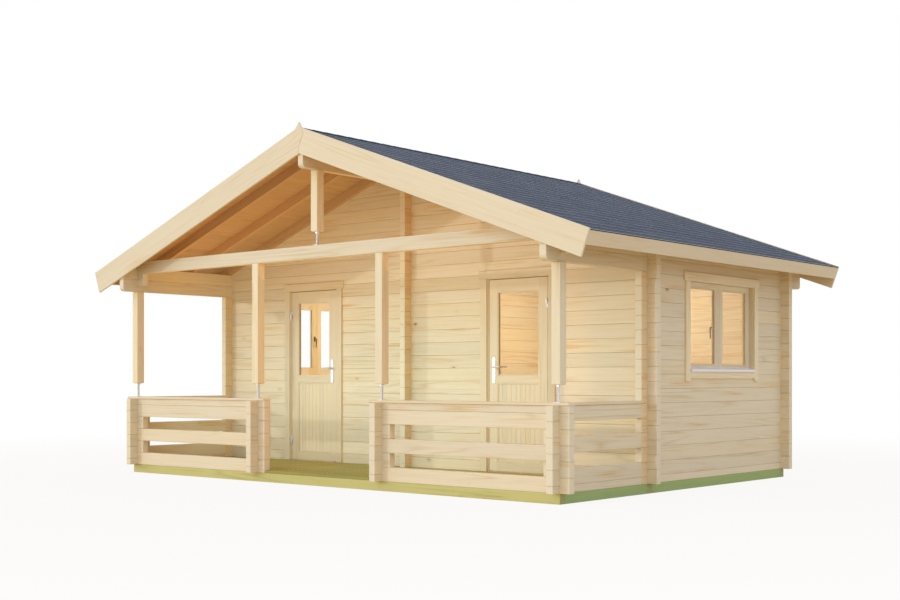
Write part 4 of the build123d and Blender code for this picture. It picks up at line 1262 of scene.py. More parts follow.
@dataclass
class Porch:
    """Railing caps, posts and their adjustable steel feet."""

    edge: float = 0.004
    screw_inset: float = 0.06
    screw_shares: tuple[float, ...] = (-1, -0.33, 0.33, 1)
    rod: float = 0.0132
    root: float = 0.9
    rod_sides: int = 14
    thread: float = 0.004
    plate: float = 0.064
    plate_thickness: float = 0.004
    plate_edge: float = 0.0012
    nut: float = 0.018
    nut_width: float = 1.55
    nut_face: float = 1.35
    nut_bevel: float = 0.002
    nut_sides: int = 6

    def caps(self) -> None:
        """Lays the cap boards on the railings, with screws."""
        bench = Bench("railing_cap_boards")
        spots = []
        for low, high in islands("railing_caps"):
            along = X if high.x - low.x > high.y - low.y else Y
            bench.board(JOINERY_WOOD, low, high, along, self.edge)
            middle = (low + high) / 2
            half = (high - low).dot(along) / 2 - self.screw_inset
            up = Z * (high.z - middle.z)
            spots += [middle + along * half * share + up for share in self.screw_shares]
        bench.screws(DULL_STEEL, spots, Z)
        bench.piece("joinery_wood", "railing_caps")

    def posts(self) -> None:
        """Builds the square posts with eased edges."""
        for name, node in (("porch_post_timbers", "porch_posts"), ("king_post_timber", "king_post")):
            bench = Bench(name)
            for low, high in islands(node):
                bench.board(TRIM_WOOD, low, high, Z, self.edge)
            bench.piece("log_wood", node)

    def feet(self) -> None:
        """Builds threaded rods between square plates, each with its nut."""
        bench = Bench("adjustable_feet")
        half, thin, root = self.plate / 2, self.plate_thickness, self.rod * self.root
        square = [(-half, -half), (half, -half), (half, half), (-half, half)]
        wide, face = self.rod * self.nut_width, self.rod * self.nut_face
        for low, high in islands("post_feet"):
            middle, tall = (low + high) / 2, high.z - low.z
            foot = Matrix.Translation((middle.x, middle.y, low.z))
            profile = [(0, thin)]
            for k in range(int((tall - 2 * thin) / self.thread)):
                start = thin + k * self.thread
                profile += [(root, start), (self.rod, start + self.thread * 0.5)]
            bench.turned(ZINC, profile + [(root, tall - thin), (0, tall - thin)], foot, self.rod_sides)
            for z in (low.z + thin / 2, high.z - thin / 2):
                place = Matrix.Translation((middle.x, middle.y, z))
                bench.slab(ZINC_PLATE, square, place, thin, self.plate_edge)
            under = tall - thin - self.nut
            over = under + self.nut
            flats = [(0, under), (face, under), (wide, under + self.nut_bevel)]
            flats += [(wide, over - self.nut_bevel), (face, over), (0, over)]
            bench.turned(ZINC, flats, foot, self.nut_sides, smooth=False)
        bench.piece("galvanised_steel", "post_feet")

    def build(self) -> None:
        """Builds the terrace woodwork."""
        self.caps()
        self.posts()
        self.feet()


@dataclass
class Roof:
    """Rafters, tongued boards, shingles, fascias and barge boards."""

    pitch: float = math.radians(20.0)
    roofing: float = 0.008
    board: float = 0.019
    board_face: float = 0.096
    board_play: float = 0.0005
    board_edge: float = 0.0035
    edge: float = 0.003
    rafter: float = 0.095
    fascia: float = 0.020
    barge: float = 0.240
    barge_thickness: float = 0.022
    beak_rise: float = 0.046
    beak_out: float = 0.061
    beak_drop: float = 0.068
    beak_foot: float = 0.190
    beak_root: float = 0.062
    beak_neck: float = 0.026
    beak_bends: tuple[Pair, ...] = ((1.0, 0.2), (0.3, 0.72))
    seam: float = 0.002
    exposure: float = 0.165
    tab: float = 0.333
    slot_gap: float = 0.004
    lap: float = 0.225
    shingle: float = 0.0036
    shingle_lift: float = 1.1
    shingle_layer: float = 0.0045
    felt_edge: float = 0.001
    cap_width: float = 0.24
    cap_thickness: float = 0.003
    cap_lift: float = 0.0055
    screw_spots: tuple[float, ...] = (0.45, 1.05, 1.65, 2.25, 2.85)
    screw_depths: Pair = (0.06, 0.17)
    screw_inset: float = 0.12
    screw: float = 0.0022
    ridge: float = field(init=False)
    eave: float = field(init=False)
    front: float = field(init=False)
    rear: float = field(init=False)
    length: float = field(init=False)
    middle: float = field(init=False)

    def __post_init__(self) -> None:
        """Reads ridge, eave and length of the roof from the frame."""
        low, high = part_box("right_roofing")
        self.ridge = high.z
        self.eave = high.x / math.cos(self.pitch)
        self.front, self.rear = low.y, high.y
        self.length, self.middle = self.rear - self.front, (self.front + self.rear) / 2

    def down(self, side: Side) -> Vector:
        """Returns the direction from the ridge to an eave."""
        return Vector((side.value * math.cos(self.pitch), 0, -math.sin(self.pitch)))

    def up(self, side: Side) -> Vector:
        """Returns the direction square to a slope."""
        return Vector((side.value * math.sin(self.pitch), 0, math.cos(self.pitch)))

    def spot(self, side: Side, along: float, y: float, height: float, top: float | None = None) -> Vector:
        """Returns a point so far down, along and over a slope, with the roofing's ridge or another top."""
        start = Vector((0, y, self.ridge if top is None else top))
        return start + self.down(side) * along + self.up(side) * height

    def ridge_cut(self, side: Side) -> Plane:
        """Returns the upright plane that mitres a slope at the ridge."""
        return Plane(Vector((side.value * self.seam / 2, 0, 0)), Vector((-side.value, 0, 0)))

    def boards(self, side: Side) -> None:
        """Lays the tongued roof boards, whose joints show from below.

        Args:
            side: which slope.
        """
        end = self.eave - self.fascia
        count = round(end / self.board_face)
        step = end / count
        bench = Bench(f"{side.word}_roof_boarding")
        start = self.spot(side, step / 2, self.middle, -self.roofing - self.board / 2)
        size = (self.length, step - self.board_play, self.board)
        place = axes(Y, self.down(side), start)
        bench.boards(PAINTED_SHADE_ROOF_WOOD, place, size, count, step, self.board_edge, [self.ridge_cut(side)])
        bench.piece("roof_wood", f"{side.word}_roof_boards")

    def rafters(self, side: Side) -> None:
        """Builds the rafters of a slope where the frame has them.

        Args:
            side: which slope.
        """
        bench = Bench(f"{side.word}_rafter_timbers")
        start, end = -self.rafter, self.eave - self.fascia
        depth = self.roofing + self.board + self.rafter / 2
        for low, high in islands(f"{side.word}_rafters"):
            centre = self.spot(side, (start + end) / 2, (low.y + high.y) / 2, -depth)
            size = (end - start, self.rafter, high.y - low.y)
            place = axes(self.down(side), self.up(side), centre)
            bench.boards(PAINTED_SHADE_ROOF_WOOD, place, size, edge=self.edge, cuts=[self.ridge_cut(side)])
        bench.piece("roof_wood", f"{side.word}_rafters")

    def shingles(self, side: Side) -> None:
        """Lays felt and shingle rows on a slope.

        Args:
            side: which slope.
        """
        bench = Bench(f"{side.word}_shingles")
        rows = math.ceil(self.eave / self.exposure)
        columns = math.ceil(self.length / self.tab) + 2
        exposure = self.eave / rows
        felt = self.roofing - self.shingle_layer
        along, down, mitre = -Y * side.value, self.down(side), self.ridge_cut(side)
        place = axes(along, down, self.spot(side, self.eave / 2, self.middle, -self.roofing + felt / 2))
        size = (self.length, self.eave, felt)
        bench.boards(plain(SHINGLE), place, size, edge=self.felt_edge, cuts=[mitre])
        mesh = SHINGLES.grow(
            Exposure=exposure, Tab=self.tab, Slot=self.slot_gap, Lap=self.lap, Thickness=self.shingle,
            Rows=rows, Columns=columns, Seed=11, Finish=SHINGLE.material(),
        )
        lift = -self.shingle_layer + self.shingle * self.shingle_lift
        start = self.spot(side, exposure - self.lap / 2, self.middle + side.value * self.tab / 4, lift)
        cuts = [mitre, Plane(Vector((0, self.front, 0)), -Y), Plane(Vector((0, self.rear, 0)), Y)]
        bench.add(mesh, axes(along, down, start), SHINGLE_TABS, cuts, end_axis=1)
        bench.piece("roof_shingle", f"{side.word}_roofing")

    def ridge_caps(self) -> None:
        """Folds lapped shingle caps over the ridge."""
        bench = Bench("ridge_shingle_caps")
        count = round(self.length / self.exposure)
        pitch = (self.length - self.lap) / (count - 1)
        mesh = RIDGE_CAPS.grow(
            Width=self.cap_width, Lap=self.lap, Pitch=pitch, Thickness=self.cap_thickness,
            Slope=math.tan(self.pitch), Count=count, Seed=5, Finish=SHINGLE.material(),
        )
        start = Vector((0, self.front + self.lap / 2, self.ridge + self.cap_lift))
        bench.add(mesh, Matrix.Translation(start), plain(SHINGLE))
        bench.piece("roof_shingle")

    def fascias(self) -> None:
        """Builds the eave boards, as wide as the heights of their CAD solids say."""
        bench = Bench("eave_fascia_boards")
        low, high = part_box("eave_fascias")
        tall = (high.z - low.z - self.fascia * math.sin(self.pitch)) / math.cos(self.pitch)
        for side in Side:
            along, below = self.eave - self.fascia / 2, -self.roofing - tall / 2
            place = axes(Y, self.up(side), self.spot(side, along, self.middle, below))
            bench.boards(EAVE_WOOD, place, (self.length, tall, self.fascia), edge=self.edge)
        bench.piece("joinery_wood", "eave_fascias")

    def outlines(self, apex: float, length: float) -> dict[Side, list[Pair]]:
        """Outlines of two barge boards, of which the left one ends in the beak.

        Args:
            apex: height where their upper edges meet.
            length: length of an upper edge.

        Returns:
            X and Z of the corners for each side.
        """
        slope = math.tan(self.pitch)
        lap = [(self.beak_out, apex - self.beak_drop), (0.0, apex - self.beak_foot)]
        lap.append((0.0, apex - self.barge / math.cos(self.pitch)))
        meet = self.beak_rise / ((self.beak_rise + self.beak_drop) / self.beak_out - slope)
        beak = [(-self.beak_root, apex - self.beak_root * slope)]
        beak += [(-self.beak_neck * out, apex + self.beak_rise * up) for out, up in self.beak_bends]
        beak += [(0.0, apex + self.beak_rise), *lap]
        ends = {
            side: [self.spot(side, length, 0, -depth, apex).xz for depth in (self.barge, 0.0)] for side in Side
        }
        right = [(x + self.seam, z) for x, z in [(meet, apex - meet * slope), *lap]]
        return {Side.LEFT: ends[Side.LEFT] + beak, Side.RIGHT: right + ends[Side.RIGHT]}

    def barge_boards(self, node: str) -> None:
        """Builds a pair of barge boards with the pointed lap at the apex, and their screws.

        Args:
            node: the CAD node of the pair.
        """
        low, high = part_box(node)
        apex = high.z - self.beak_rise
        length = high.x / math.cos(self.pitch)
        middle = (low.y + high.y) / 2
        bench = Bench(node.replace("boards", "timbers"))
        for side, points in self.outlines(apex, length).items():
            place = axes(self.down(side), self.up(side), Vector((0, middle, apex)))
            back = place.inverted()
            flat = [(back @ Vector((x, middle, z))).xy for x, z in points]
            bench.slab(JOINERY_WOOD, flat, place, self.barge_thickness, self.edge)
        out, face = (-1, low.y) if middle < 0 else (1, high.y)
        spots = [
            self.spot(side, along, face, -depth, apex)
            for side in Side
            for along in (*self.screw_spots, length - self.screw_inset)
            for depth in self.screw_depths
        ]
        bench.screws(DULL_STEEL, spots, Y * out, self.screw)
        bench.piece("joinery_wood", node)

    def build(self) -> None:
        """Builds the roof from the rafters up."""
        for side in Side:
            self.rafters(side)
            self.boards(side)
            self.shingles(side)
        self.ridge_caps()
        self.fascias()
        self.barge_boards("front_barge_boards")
        self.barge_boards("rear_barge_boards")


def facing(across: Vector, side: float, depth: float, height: float) -> Triple:
    """Returns a point of a wall that runs along X or Y."""
    return (side, depth, height) if across == X else (depth, side, height)


def bead_frame(
    bench: Bench, across: Vector, sides: Pair, heights: Pair, depths: Pair, width: float, edge: float
) -> None:
    """Frames a field with two uprights and two level strips between them.

    Args:
        bench: piece that takes them.
        across: level direction in the field's plane, X or Y.
        sides: ends of the field along it.
        heights: bottom and top of the field.
        depths: front and back of the strips.
        width: width of a strip.
        edge: easing of the edges.
    """
    for side, inner in both_ends(*sides, width):
        start = facing(across, side, depths[0], heights[0])
        bench.board(JOINERY_WOOD, start, facing(across, inner, depths[1], heights[1]), Z, edge)
    between = (sides[0] + width, sides[1] - width)
    for height, inner in both_ends(*heights, width):
        start = facing(across, between[0], depths[0], height)
        bench.board(JOINERY_WOOD, start, facing(across, between[1], depths[1], inner), across, edge)


def leaf_frame(
    bench: Bench, across: Vector, box: Box, inner: Pair, rails: Iterable[Pair], tenon: float, edge: float
) -> None:
    """Builds the stiles of a door or sash and the rails between them.

    Args:
        bench: piece that takes them.
        across: level direction in the leaf's plane, X or Y.
        box: lowest and highest corner of the leaf.
        inner: inner edges of the stiles.
        rails: bottom and top of each rail.
        tenon: how far the rails run into the stiles.
        edge: easing of the edges.
    """
    low, high = box
    side, depth = (0, 1) if across == X else (1, 0)
    for start, stop in ((low[side], inner[0]), (inner[1], high[side])):
        corner = facing(across, start, low[depth], low.z)
        bench.board(JOINERY_WOOD, corner, facing(across, stop, high[depth], high.z), Z, edge)
    for bottom, top in rails:
        corner = facing(across, inner[0] - tenon, low[depth] + RAIL_PLAY, bottom)
        opposite = facing(across, inner[1] + tenon, high[depth] - RAIL_PLAY, top)
        bench.board(JOINERY_WOOD, corner, opposite, across, edge)


@dataclass
class Door:
    """One glazed door with its frame furniture."""

    side: Side
    stile: float = 0.115
    top_rail: float = 0.132
    middle_rail: float = 0.084
    bottom_rail: float = 0.091
    edge: float = 0.0025
    glass: float = 0.804
    panel_set: float = 0.009
    panel_board: float = 0.058
    panel_play: float = 0.0004
    panel_edge: float = 0.003
    panel_gap: float = 0.001
    bead: float = 0.014
    bead_set: float = 0.002
    pane_thickness: float = 0.005
    pane_rebate: float = 0.005
    tenon: float = 0.006
    plate_steps: int = 9
    plate_edge: float = 0.0018
    plate_screw: float = 0.0035
    screw_inset: float = 0.016
    key_drop: float = 0.072
    key_sink: float = 0.001
    key_rose: tuple[Pair, ...] = ((0, 0), (0.0095, 0), (0.0095, 0.003), (0.0085, 0.004), (0, 0.004))
    key_hole: tuple[Pair, ...] = ((0, 0.0035), (0.0045, 0.0035), (0.0045, 0.0046), (0, 0.0046))
    key_sides: int = 12
    spindle: float = 0.0075
    spindle_inset: float = 0.02
    grip: float = 0.0092
    grip_inset: float = 0.0095
    grip_end: float = 0.012
    grip_shares: tuple[float, ...] = (1.0, 1.0, 1.0, 0.98, 0.9, 0.72)
    grip_bends: tuple[Triple, ...] = (
        (0, 0.046, 0), (0, 0.020, 0), (0, 0, 0), (0.024, 0, 0), (0.070, 0.001, -0.001),
    )
    grip_turn: float = 0.003
    rose: tuple[Pair, ...] = ((0, 0), (0.0125, 0), (0.0125, 0.004), (0.0105, 0.007), (0, 0.007))
    rose_gap: float = 0.006
    hinge_plate: float = 0.003
    hinge_edge: float = 0.0006
    hinge_web: float = 0.004
    hinge_web_edge: float = 0.0005
    hinge_screws: Pair = (0.25, 0.75)
    body: str = field(init=False)
    low: Vector = field(init=False)
    high: Vector = field(init=False)

    def __post_init__(self) -> None:
        """Reads the leaf's box from the frame."""
        self.body = f"{self.side.word}_door"
        self.low, self.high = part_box(f"{self.side.word}_door_leaf")

    def leaf(self) -> None:
        """Builds stiles, rails, the boarded panel and the glazing beads."""
        low, high = self.low, self.high
        bench = Bench(f"{self.side.word}_door_joinery")
        inner = (low.x + self.stile - self.bead, high.x - self.stile + self.bead)
        glass_top = high.z - self.top_rail + self.bead
        glass_low = glass_top - self.glass - 2 * self.bead
        panel = (low.z + self.bottom_rail, glass_low + self.bead - self.middle_rail)
        rails = ((glass_top, high.z), (panel[1], glass_low), (low.z, panel[0]))
        leaf_frame(bench, X, (low, high), inner, rails, self.tenon, self.edge)
        count = round((inner[1] - inner[0]) / self.panel_board)
        step = (inner[1] - inner[0]) / count
        middle = Vector((inner[0] + step / 2, (low.y + high.y) / 2, (panel[0] + panel[1]) / 2))
        size = (panel[1] - panel[0], step - self.panel_play, high.y - low.y - 2 * self.panel_set)
        bench.boards(JOINERY_WOOD, axes(Z, X, middle), size, count, step, self.panel_edge)
        to_pane = (high.y - low.y - self.pane_thickness) / 2 - self.bead_set
        for heights, depth in (((glass_low, glass_top), to_pane), (panel, self.panel_set - self.panel_gap)):
            for depths in both_ends(low.y + self.bead_set, high.y - self.bead_set, depth):
                bead_frame(bench, X, inner, heights, depths, self.bead, BEAD_EDGE)
        bench.piece("joinery_wood", f"{self.side.word}_door_leaf", body=self.body)

    def pane(self) -> None:
        """Builds the pane between its beads."""
        node = f"{self.side.word}_door_glass"
        low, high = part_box(node)
        bench = Bench(f"{self.side.word}_door_panes")
        left = self.low.x + self.stile - self.pane_rebate
        right = self.high.x - self.stile + self.pane_rebate
        middle, half = (self.low.y + self.high.y) / 2, self.pane_thickness / 2
        bench.board(GLASS, (left, middle - half, low.z), (right, middle + half, high.z), Z, PANE_EDGE)
        bench.piece("clear_glass", node, body=self.body)

    def plates(self, axis: Vector) -> None:
        """Builds the long handle plates with keyhole and screws.

        Args:
            axis: point on the lever's axis.
        """
        node = f"{self.side.word}_handle_plates"
        bench = Bench(f"{self.side.word}_handle_backplates")
        for low, high in islands(node):
            half = (high.x - low.x) / 2
            outline = []
            for centre, start in ((low.z + half, 180), (high.z - half, 0)):
                for k in range(self.plate_steps):
                    turn = math.radians(start + k * 180 / (self.plate_steps - 1))
                    outline.append((centre + half * math.sin(turn), half * math.cos(turn)))
            middle = Vector(((low.x + high.x) / 2, (low.y + high.y) / 2, 0))
            bench.slab(plain(SATIN), outline, axes(Z, X, middle), high.y - low.y, self.plate_edge)
            face, surface = (-Y, low.y) if low.y < self.low.y else (Y, high.y)
            heights = (low.z + self.screw_inset, high.z - self.screw_inset)
            bench.screws(ZINC, [Vector((middle.x, surface, z)) for z in heights], face, self.plate_screw)
            spot = Vector((middle.x, surface - face.y * self.key_sink, axis.z - self.key_drop))
            key = axes(face.cross(Z), Z, spot)
            bench.turned(SATIN, self.key_rose, key)
            bench.turned(BRONZE, self.key_hole, key, self.key_sides)
        bench.piece("handle_metal", node, body=self.body)

    def lever(self, axis: Vector) -> None:
        """Builds the spindle, a bent grip and a rose on each face.

        Args:
            axis: point on the lever's axis.
        """
        node = f"{self.side.word}_lever"
        low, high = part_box(node)
        bench = Bench(f"{node}_grips")
        rod = (low.y + self.spindle_inset, axis.y, high.y - self.spindle_inset)
        bench.swept(SATIN, [Vector((axis.x, y, axis.z)) for y in rod], self.spindle)
        end = ((high.x - low.x) - self.grip_end, self.grip_turn, 0)
        for y, inward in ((low.y, 1), (high.y, -1)):
            out = y + inward * self.grip_inset
            path = [
                Vector((axis.x + self.side.value * reach, out + inward * deep, axis.z + rise))
                for reach, deep, rise in (*self.grip_bends, end)
            ]
            bench.swept(SATIN, path, self.grip, self.grip_shares)
        for y, face in ((self.low.y - self.rose_gap, -Y), (self.high.y + self.rose_gap, Y)):
            bench.turned(SATIN, self.rose, axes(face.cross(Z), Z, Vector((axis.x, y, axis.z))))
        bench.piece("handle_metal", node, body=node)

    def hinges(self) -> None:
        """Builds the leaf halves of the hinges: barrel, pin head and screwed plate."""
        word, front = self.side.word, self.low.y
        axis = joint_point(f"{word}_door_hinge")
        bench = Bench(f"{word}_leaf_hinge_halves")
        for low, high in islands(f"{word}_leaf_hinges"):
            knuckle(bench, axis, low.z, high.z, pin_up=True)
            inner = low.x if self.side is Side.RIGHT else high.x
            corner = (inner, front - self.hinge_plate, low.z)
            bench.board(ZINC_PLATE, corner, (axis.x, front, high.z), Z, self.hinge_edge)
            heights = [low.z + share * (high.z - low.z) for share in self.hinge_screws]
            spots = [Vector(((inner + axis.x) / 2, front - self.hinge_plate, z)) for z in heights]
            bench.screws(ZINC, spots, -Y, self.plate_screw)
            corner = (axis.x - self.side.value * self.hinge_web, axis.y, low.z)
            bench.board(ZINC_PLATE, corner, (axis.x, front, high.z), Z, self.hinge_web_edge)
        bench.piece("galvanised_steel", f"{word}_leaf_hinges", body=self.body)

    def build(self) -> None:
        """Builds the door."""
        axis = joint_point(f"{self.side.word}_lever_turn")
        self.leaf()
        self.pane()
        self.plates(axis)
        self.lever(axis)
        self.hinges()


def knuckle(bench: Bench, axis: Vector, low: float, high: float, pin_up: bool) -> None:
    """Adds half a hinge barrel with a rounded end.

    Args:
        bench: piece that takes it.
        axis: point on the hinge axis.
        low: bottom of the half.
        high: top of the half.
        pin_up: whether its rounded end is the upper one.
    """
    tall = high - low
    foot = [(KNUCKLE * share, rise) for share, rise in KNUCKLE_FOOT]
    tip = [(KNUCKLE * share, tall - drop) for share, drop in KNUCKLE_TIP]
    profile = [(0, 0), *foot, *tip, (0, tall)]
    if not pin_up:
        profile = [(r, tall - z) for r, z in profile[::-1]]
    bench.turned(ZINC, profile, Matrix.Translation((axis.x, axis.y, low)))


@dataclass
class DoorSurrounds:
    """Door frames with thresholds and stops, trim boards and the frame halves of the hinges."""

    jamb: float = 0.042
    head: float = 0.047
    threshold: float = 0.030
    stop: float = 0.020
    stop_width: float = 0.020
    edge: float = 0.002
    tread_edge: float = 0.004
    casing: float = 0.078
    casing_edge: float = 0.003
    ear: float = 0.024
    nails: int = 5
    nail: float = 0.0025
    nail_pitch: float = 0.45
    nail_start: float = 0.12
    hinge_web: float = 0.004
    hinge_edge: float = 0.0008

    def frames(self) -> None:
        """Builds jambs, head, threshold and stops of both doors."""
        bench = Bench("door_frame_timbers")
        for low, high in islands("door_frames"):
            left, right = low.x + self.jamb, high.x - self.jamb
            top, tread, back = high.z - self.head, low.z + self.threshold, high.y - self.stop
            stops = both_ends(left, right, self.stop_width)
            for (x, inner), (_, stop) in zip(both_ends(low.x, high.x, self.jamb), stops):
                bench.board(JOINERY_WOOD, (x, low.y, low.z), (inner, high.y, high.z), Z, self.edge)
                bench.board(JOINERY_WOOD, (inner, back, tread), (stop, high.y, top), Z, self.edge)
            bench.board(JOINERY_WOOD, (left, low.y, top), (right, high.y, high.z), X, self.edge)
            bench.board(JOINERY_WOOD, (left, low.y, low.z), (right, high.y, tread), X, self.tread_edge)
            bench.board(JOINERY_WOOD, (left, back, top - self.stop_width), (right, high.y, top), X, self.edge)
        bench.piece("joinery_wood", "door_frames")

    def casings(self) -> None:
        """Builds the trim boards, with small nails."""
        bench = Bench("door_trim_boards")
        spots = []
        for low, high in islands("door_casings"):
            split = high.z - self.casing
            bench.board(JOINERY_WOOD, (low.x, low.y, split), high, X, self.casing_edge)
            legs = (low.x + self.ear, high.x - self.ear)
            for x, inner in both_ends(*legs, self.casing):
                bench.board(JOINERY_WOOD, (x, low.y, low.z), (inner, high.y, split), Z, self.casing_edge)
            heights = [low.z + k * self.nail_pitch + self.nail_start for k in range(self.nails)]
            spots += [Vector((x, low.y, z)) for _, x in both_ends(*legs, self.casing / 2) for z in heights]
        bench.screws(DULL_STEEL, spots, -Y, self.nail)
        bench.piece("joinery_wood", "door_casings")

    def hinges(self) -> None:
        """Builds the frame halves of the hinges."""
        bench = Bench("frame_hinge_halves")
        for low, high in islands("frame_hinges"):
            side = Side.RIGHT if low.x > 0 else Side.LEFT
            axis = joint_point(f"{side.word}_door_hinge")
            knuckle(bench, axis, low.z, high.z, pin_up=False)
            outer = high.x if side is Side.RIGHT else low.x
            near = axis.x + side.value * self.hinge_web
            bench.board(ZINC_PLATE, (near, axis.y, low.z), (outer, high.y, high.z), Z, self.hinge_edge)
        bench.piece("galvanised_steel", "frame_hinges")

    def build(self) -> None:
        """Builds the surrounds."""
        self.frames()
        self.casings()
        self.hinges()


@dataclass
class Windows:
    """Two-light side windows: lining, sashes, panes, trim, sill and inside handle."""

    lining: float = 0.040
    lining_edge: float = 0.002
    edge: float = 0.003
    stile: float = 0.077
    rail: float = 0.062
    casing: float = 0.078
    ear: float = 0.024
    head: float = 0.085
    apron: float = 0.066
    bead: float = 0.013
    bead_set: float = 0.001
    tenon: float = 0.006
    pane_thickness: float = 0.005
    pane_rebate: float = 0.005
    nails: int = 4
    nail: float = 0.0025
    nail_pitch: float = 0.26
    nail_start: float = 0.06
    handle_base: tuple[Pair, ...] = ((-0.032, -0.013), (0.032, -0.013), (0.032, 0.013), (-0.032, 0.013))
    handle_thickness: float = 0.008
    handle: float = 0.0075
    handle_bends: tuple[Pair, ...] = ((0, 0), (0.025, 0), (0.036, 0), (0.036, 0.03), (0.034, 0.11))
    handle_shares: tuple[float, ...] = (1.0, 1.0, 1.0, 1.0, 0.75)

    def linings(self) -> None:
        """Builds the boards lining the openings."""
        bench = Bench("window_lining_boards")
        for low, high in islands("window_frames"):
            heights, depths = (low.z, high.z), (low.x, high.x)
            bead_frame(bench, Y, (low.y, high.y), heights, depths, self.lining, self.lining_edge)
        bench.piece("joinery_wood", "window_frames")

    def sashes(self) -> None:
        """Builds the sashes with beads on both faces."""
        bench = Bench("window_sash_timbers")
        for low, high in islands("window_sashes"):
            inner = (low.y + self.stile - self.bead, high.y - self.stile + self.bead)
            light = (low.z + self.rail - self.bead, high.z - self.rail + self.bead)
            rails = ((low.z, light[0]), (light[1], high.z))
            leaf_frame(bench, Y, (low, high), inner, rails, self.tenon, self.edge)
            to_pane = (high.x - low.x - self.pane_thickness) / 2 - self.bead_set
            for depths in both_ends(low.x + self.bead_set, high.x - self.bead_set, to_pane):
                bead_frame(bench, Y, inner, light, depths, self.bead, BEAD_EDGE)
        bench.piece("joinery_wood", "window_sashes")

    def handles(self) -> None:
        """Builds the inside handle on the meeting stiles of each window."""
        bench = Bench("window_inside_handles")
        for side in Side:
            pair = [box for box in islands("window_sashes") if box[0].x * side.value > 0]
            low, high = min(pair, key=lambda box: box[0].y)
            inside = low.x if side is Side.RIGHT else high.x
            spot = Vector((inside, high.y - self.stile / 2, (low.z + high.z) / 2))
            out = X * -side.value
            place = axes(Z, Y, spot + out * (self.handle_thickness / 2))
            bench.slab(plain(BRONZE), self.handle_base, place, self.handle_thickness, self.edge, steps=3)
            path = [spot + out * reach - Z * drop for reach, drop in self.handle_bends]
            bench.swept(BRONZE, path, self.handle, self.handle_shares)
        bench.piece("handle_metal")

    def panes(self) -> None:
        """Builds the pane of every sash."""
        bench = Bench("window_panes")
        for low, high in islands("window_glass"):
            middle, half, rebate = (low.x + high.x) / 2, self.pane_thickness / 2, self.pane_rebate
            corner = (middle - half, low.y - rebate, low.z - rebate)
            bench.board(GLASS, corner, (middle + half, high.y + rebate, high.z + rebate), Z, PANE_EDGE)
        bench.piece("clear_glass", "window_glass")

    def casings(self) -> None:
        """Builds head, legs and apron on the wall face, with small nails."""
        bench = Bench("window_trim_boards")
        apron_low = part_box("window_sills")[0].z - self.apron
        for low, high in islands("window_casings"):
            split = high.z - self.head
            bench.board(TRIM_WOOD, (low.x, low.y, split), high, Y, self.edge)
            legs = (low.y + self.ear, high.y - self.ear)
            for y, inner in both_ends(*legs, self.casing):
                bench.board(TRIM_WOOD, (low.x, y, low.z), (high.x, inner, split), Z, self.edge)
            corner = (low.x, legs[0] + self.casing, apron_low)
            opposite = (high.x, legs[1] - self.casing, apron_low + self.apron)
            bench.board(TRIM_WOOD, corner, opposite, Y, self.edge)
            outward, surface = (X, high.x) if low.x > 0 else (-X, low.x)
            heights = [low.z + self.nail_start + k * self.nail_pitch for k in range(self.nails)]
            spots = [Vector((surface, y, z)) for _, y in both_ends(*legs, self.casing / 2) for z in heights]
            bench.screws(DULL_STEEL, spots, outward, self.nail)
        bench.piece("joinery_wood", "window_casings")

    def dress(self) -> None:
        """Paints the sills, which stay the CAD solids."""
        slots = frame["nodes"]["window_sills"].data.materials
        slots.clear()
        slots.append(WHITE_PAINT.material())
        REPORT.info("window_sills: CAD solids with %s", WHITE_PAINT.name)

    def build(self) -> None:
        """Builds the windows."""
        self.linings()
        self.sashes()
        self.handles()
        self.panes()
        self.casings()
        self.dress()


@dataclass(frozen=True)
class Glow:
    """A wide lamp that isn't seen itself."""

    name: str
    power: float
    size: Pair
    colour: Colour
    way: Triple = (0, 0, -1)

    def hang(self, place: Sequence[float], share: float = 1.0) -> None:
        """Sets the lamp.

        Args:
            place: its middle.
            share: share of its power.
        """
        data = bpy.data.lights.new(self.name, "AREA")
        data.shape = "RECTANGLE"
        data.size, data.size_y = self.size
        data.energy, data.color = self.power * share, self.colour
        lamp = show(self.name, data)
        lamp.location = place
        lamp.rotation_euler = Vector(self.way).to_track_quat("-Z", "Y").to_euler()
        lamp.visible_camera = lamp.visible_glossy = lamp.visible_transmission = False


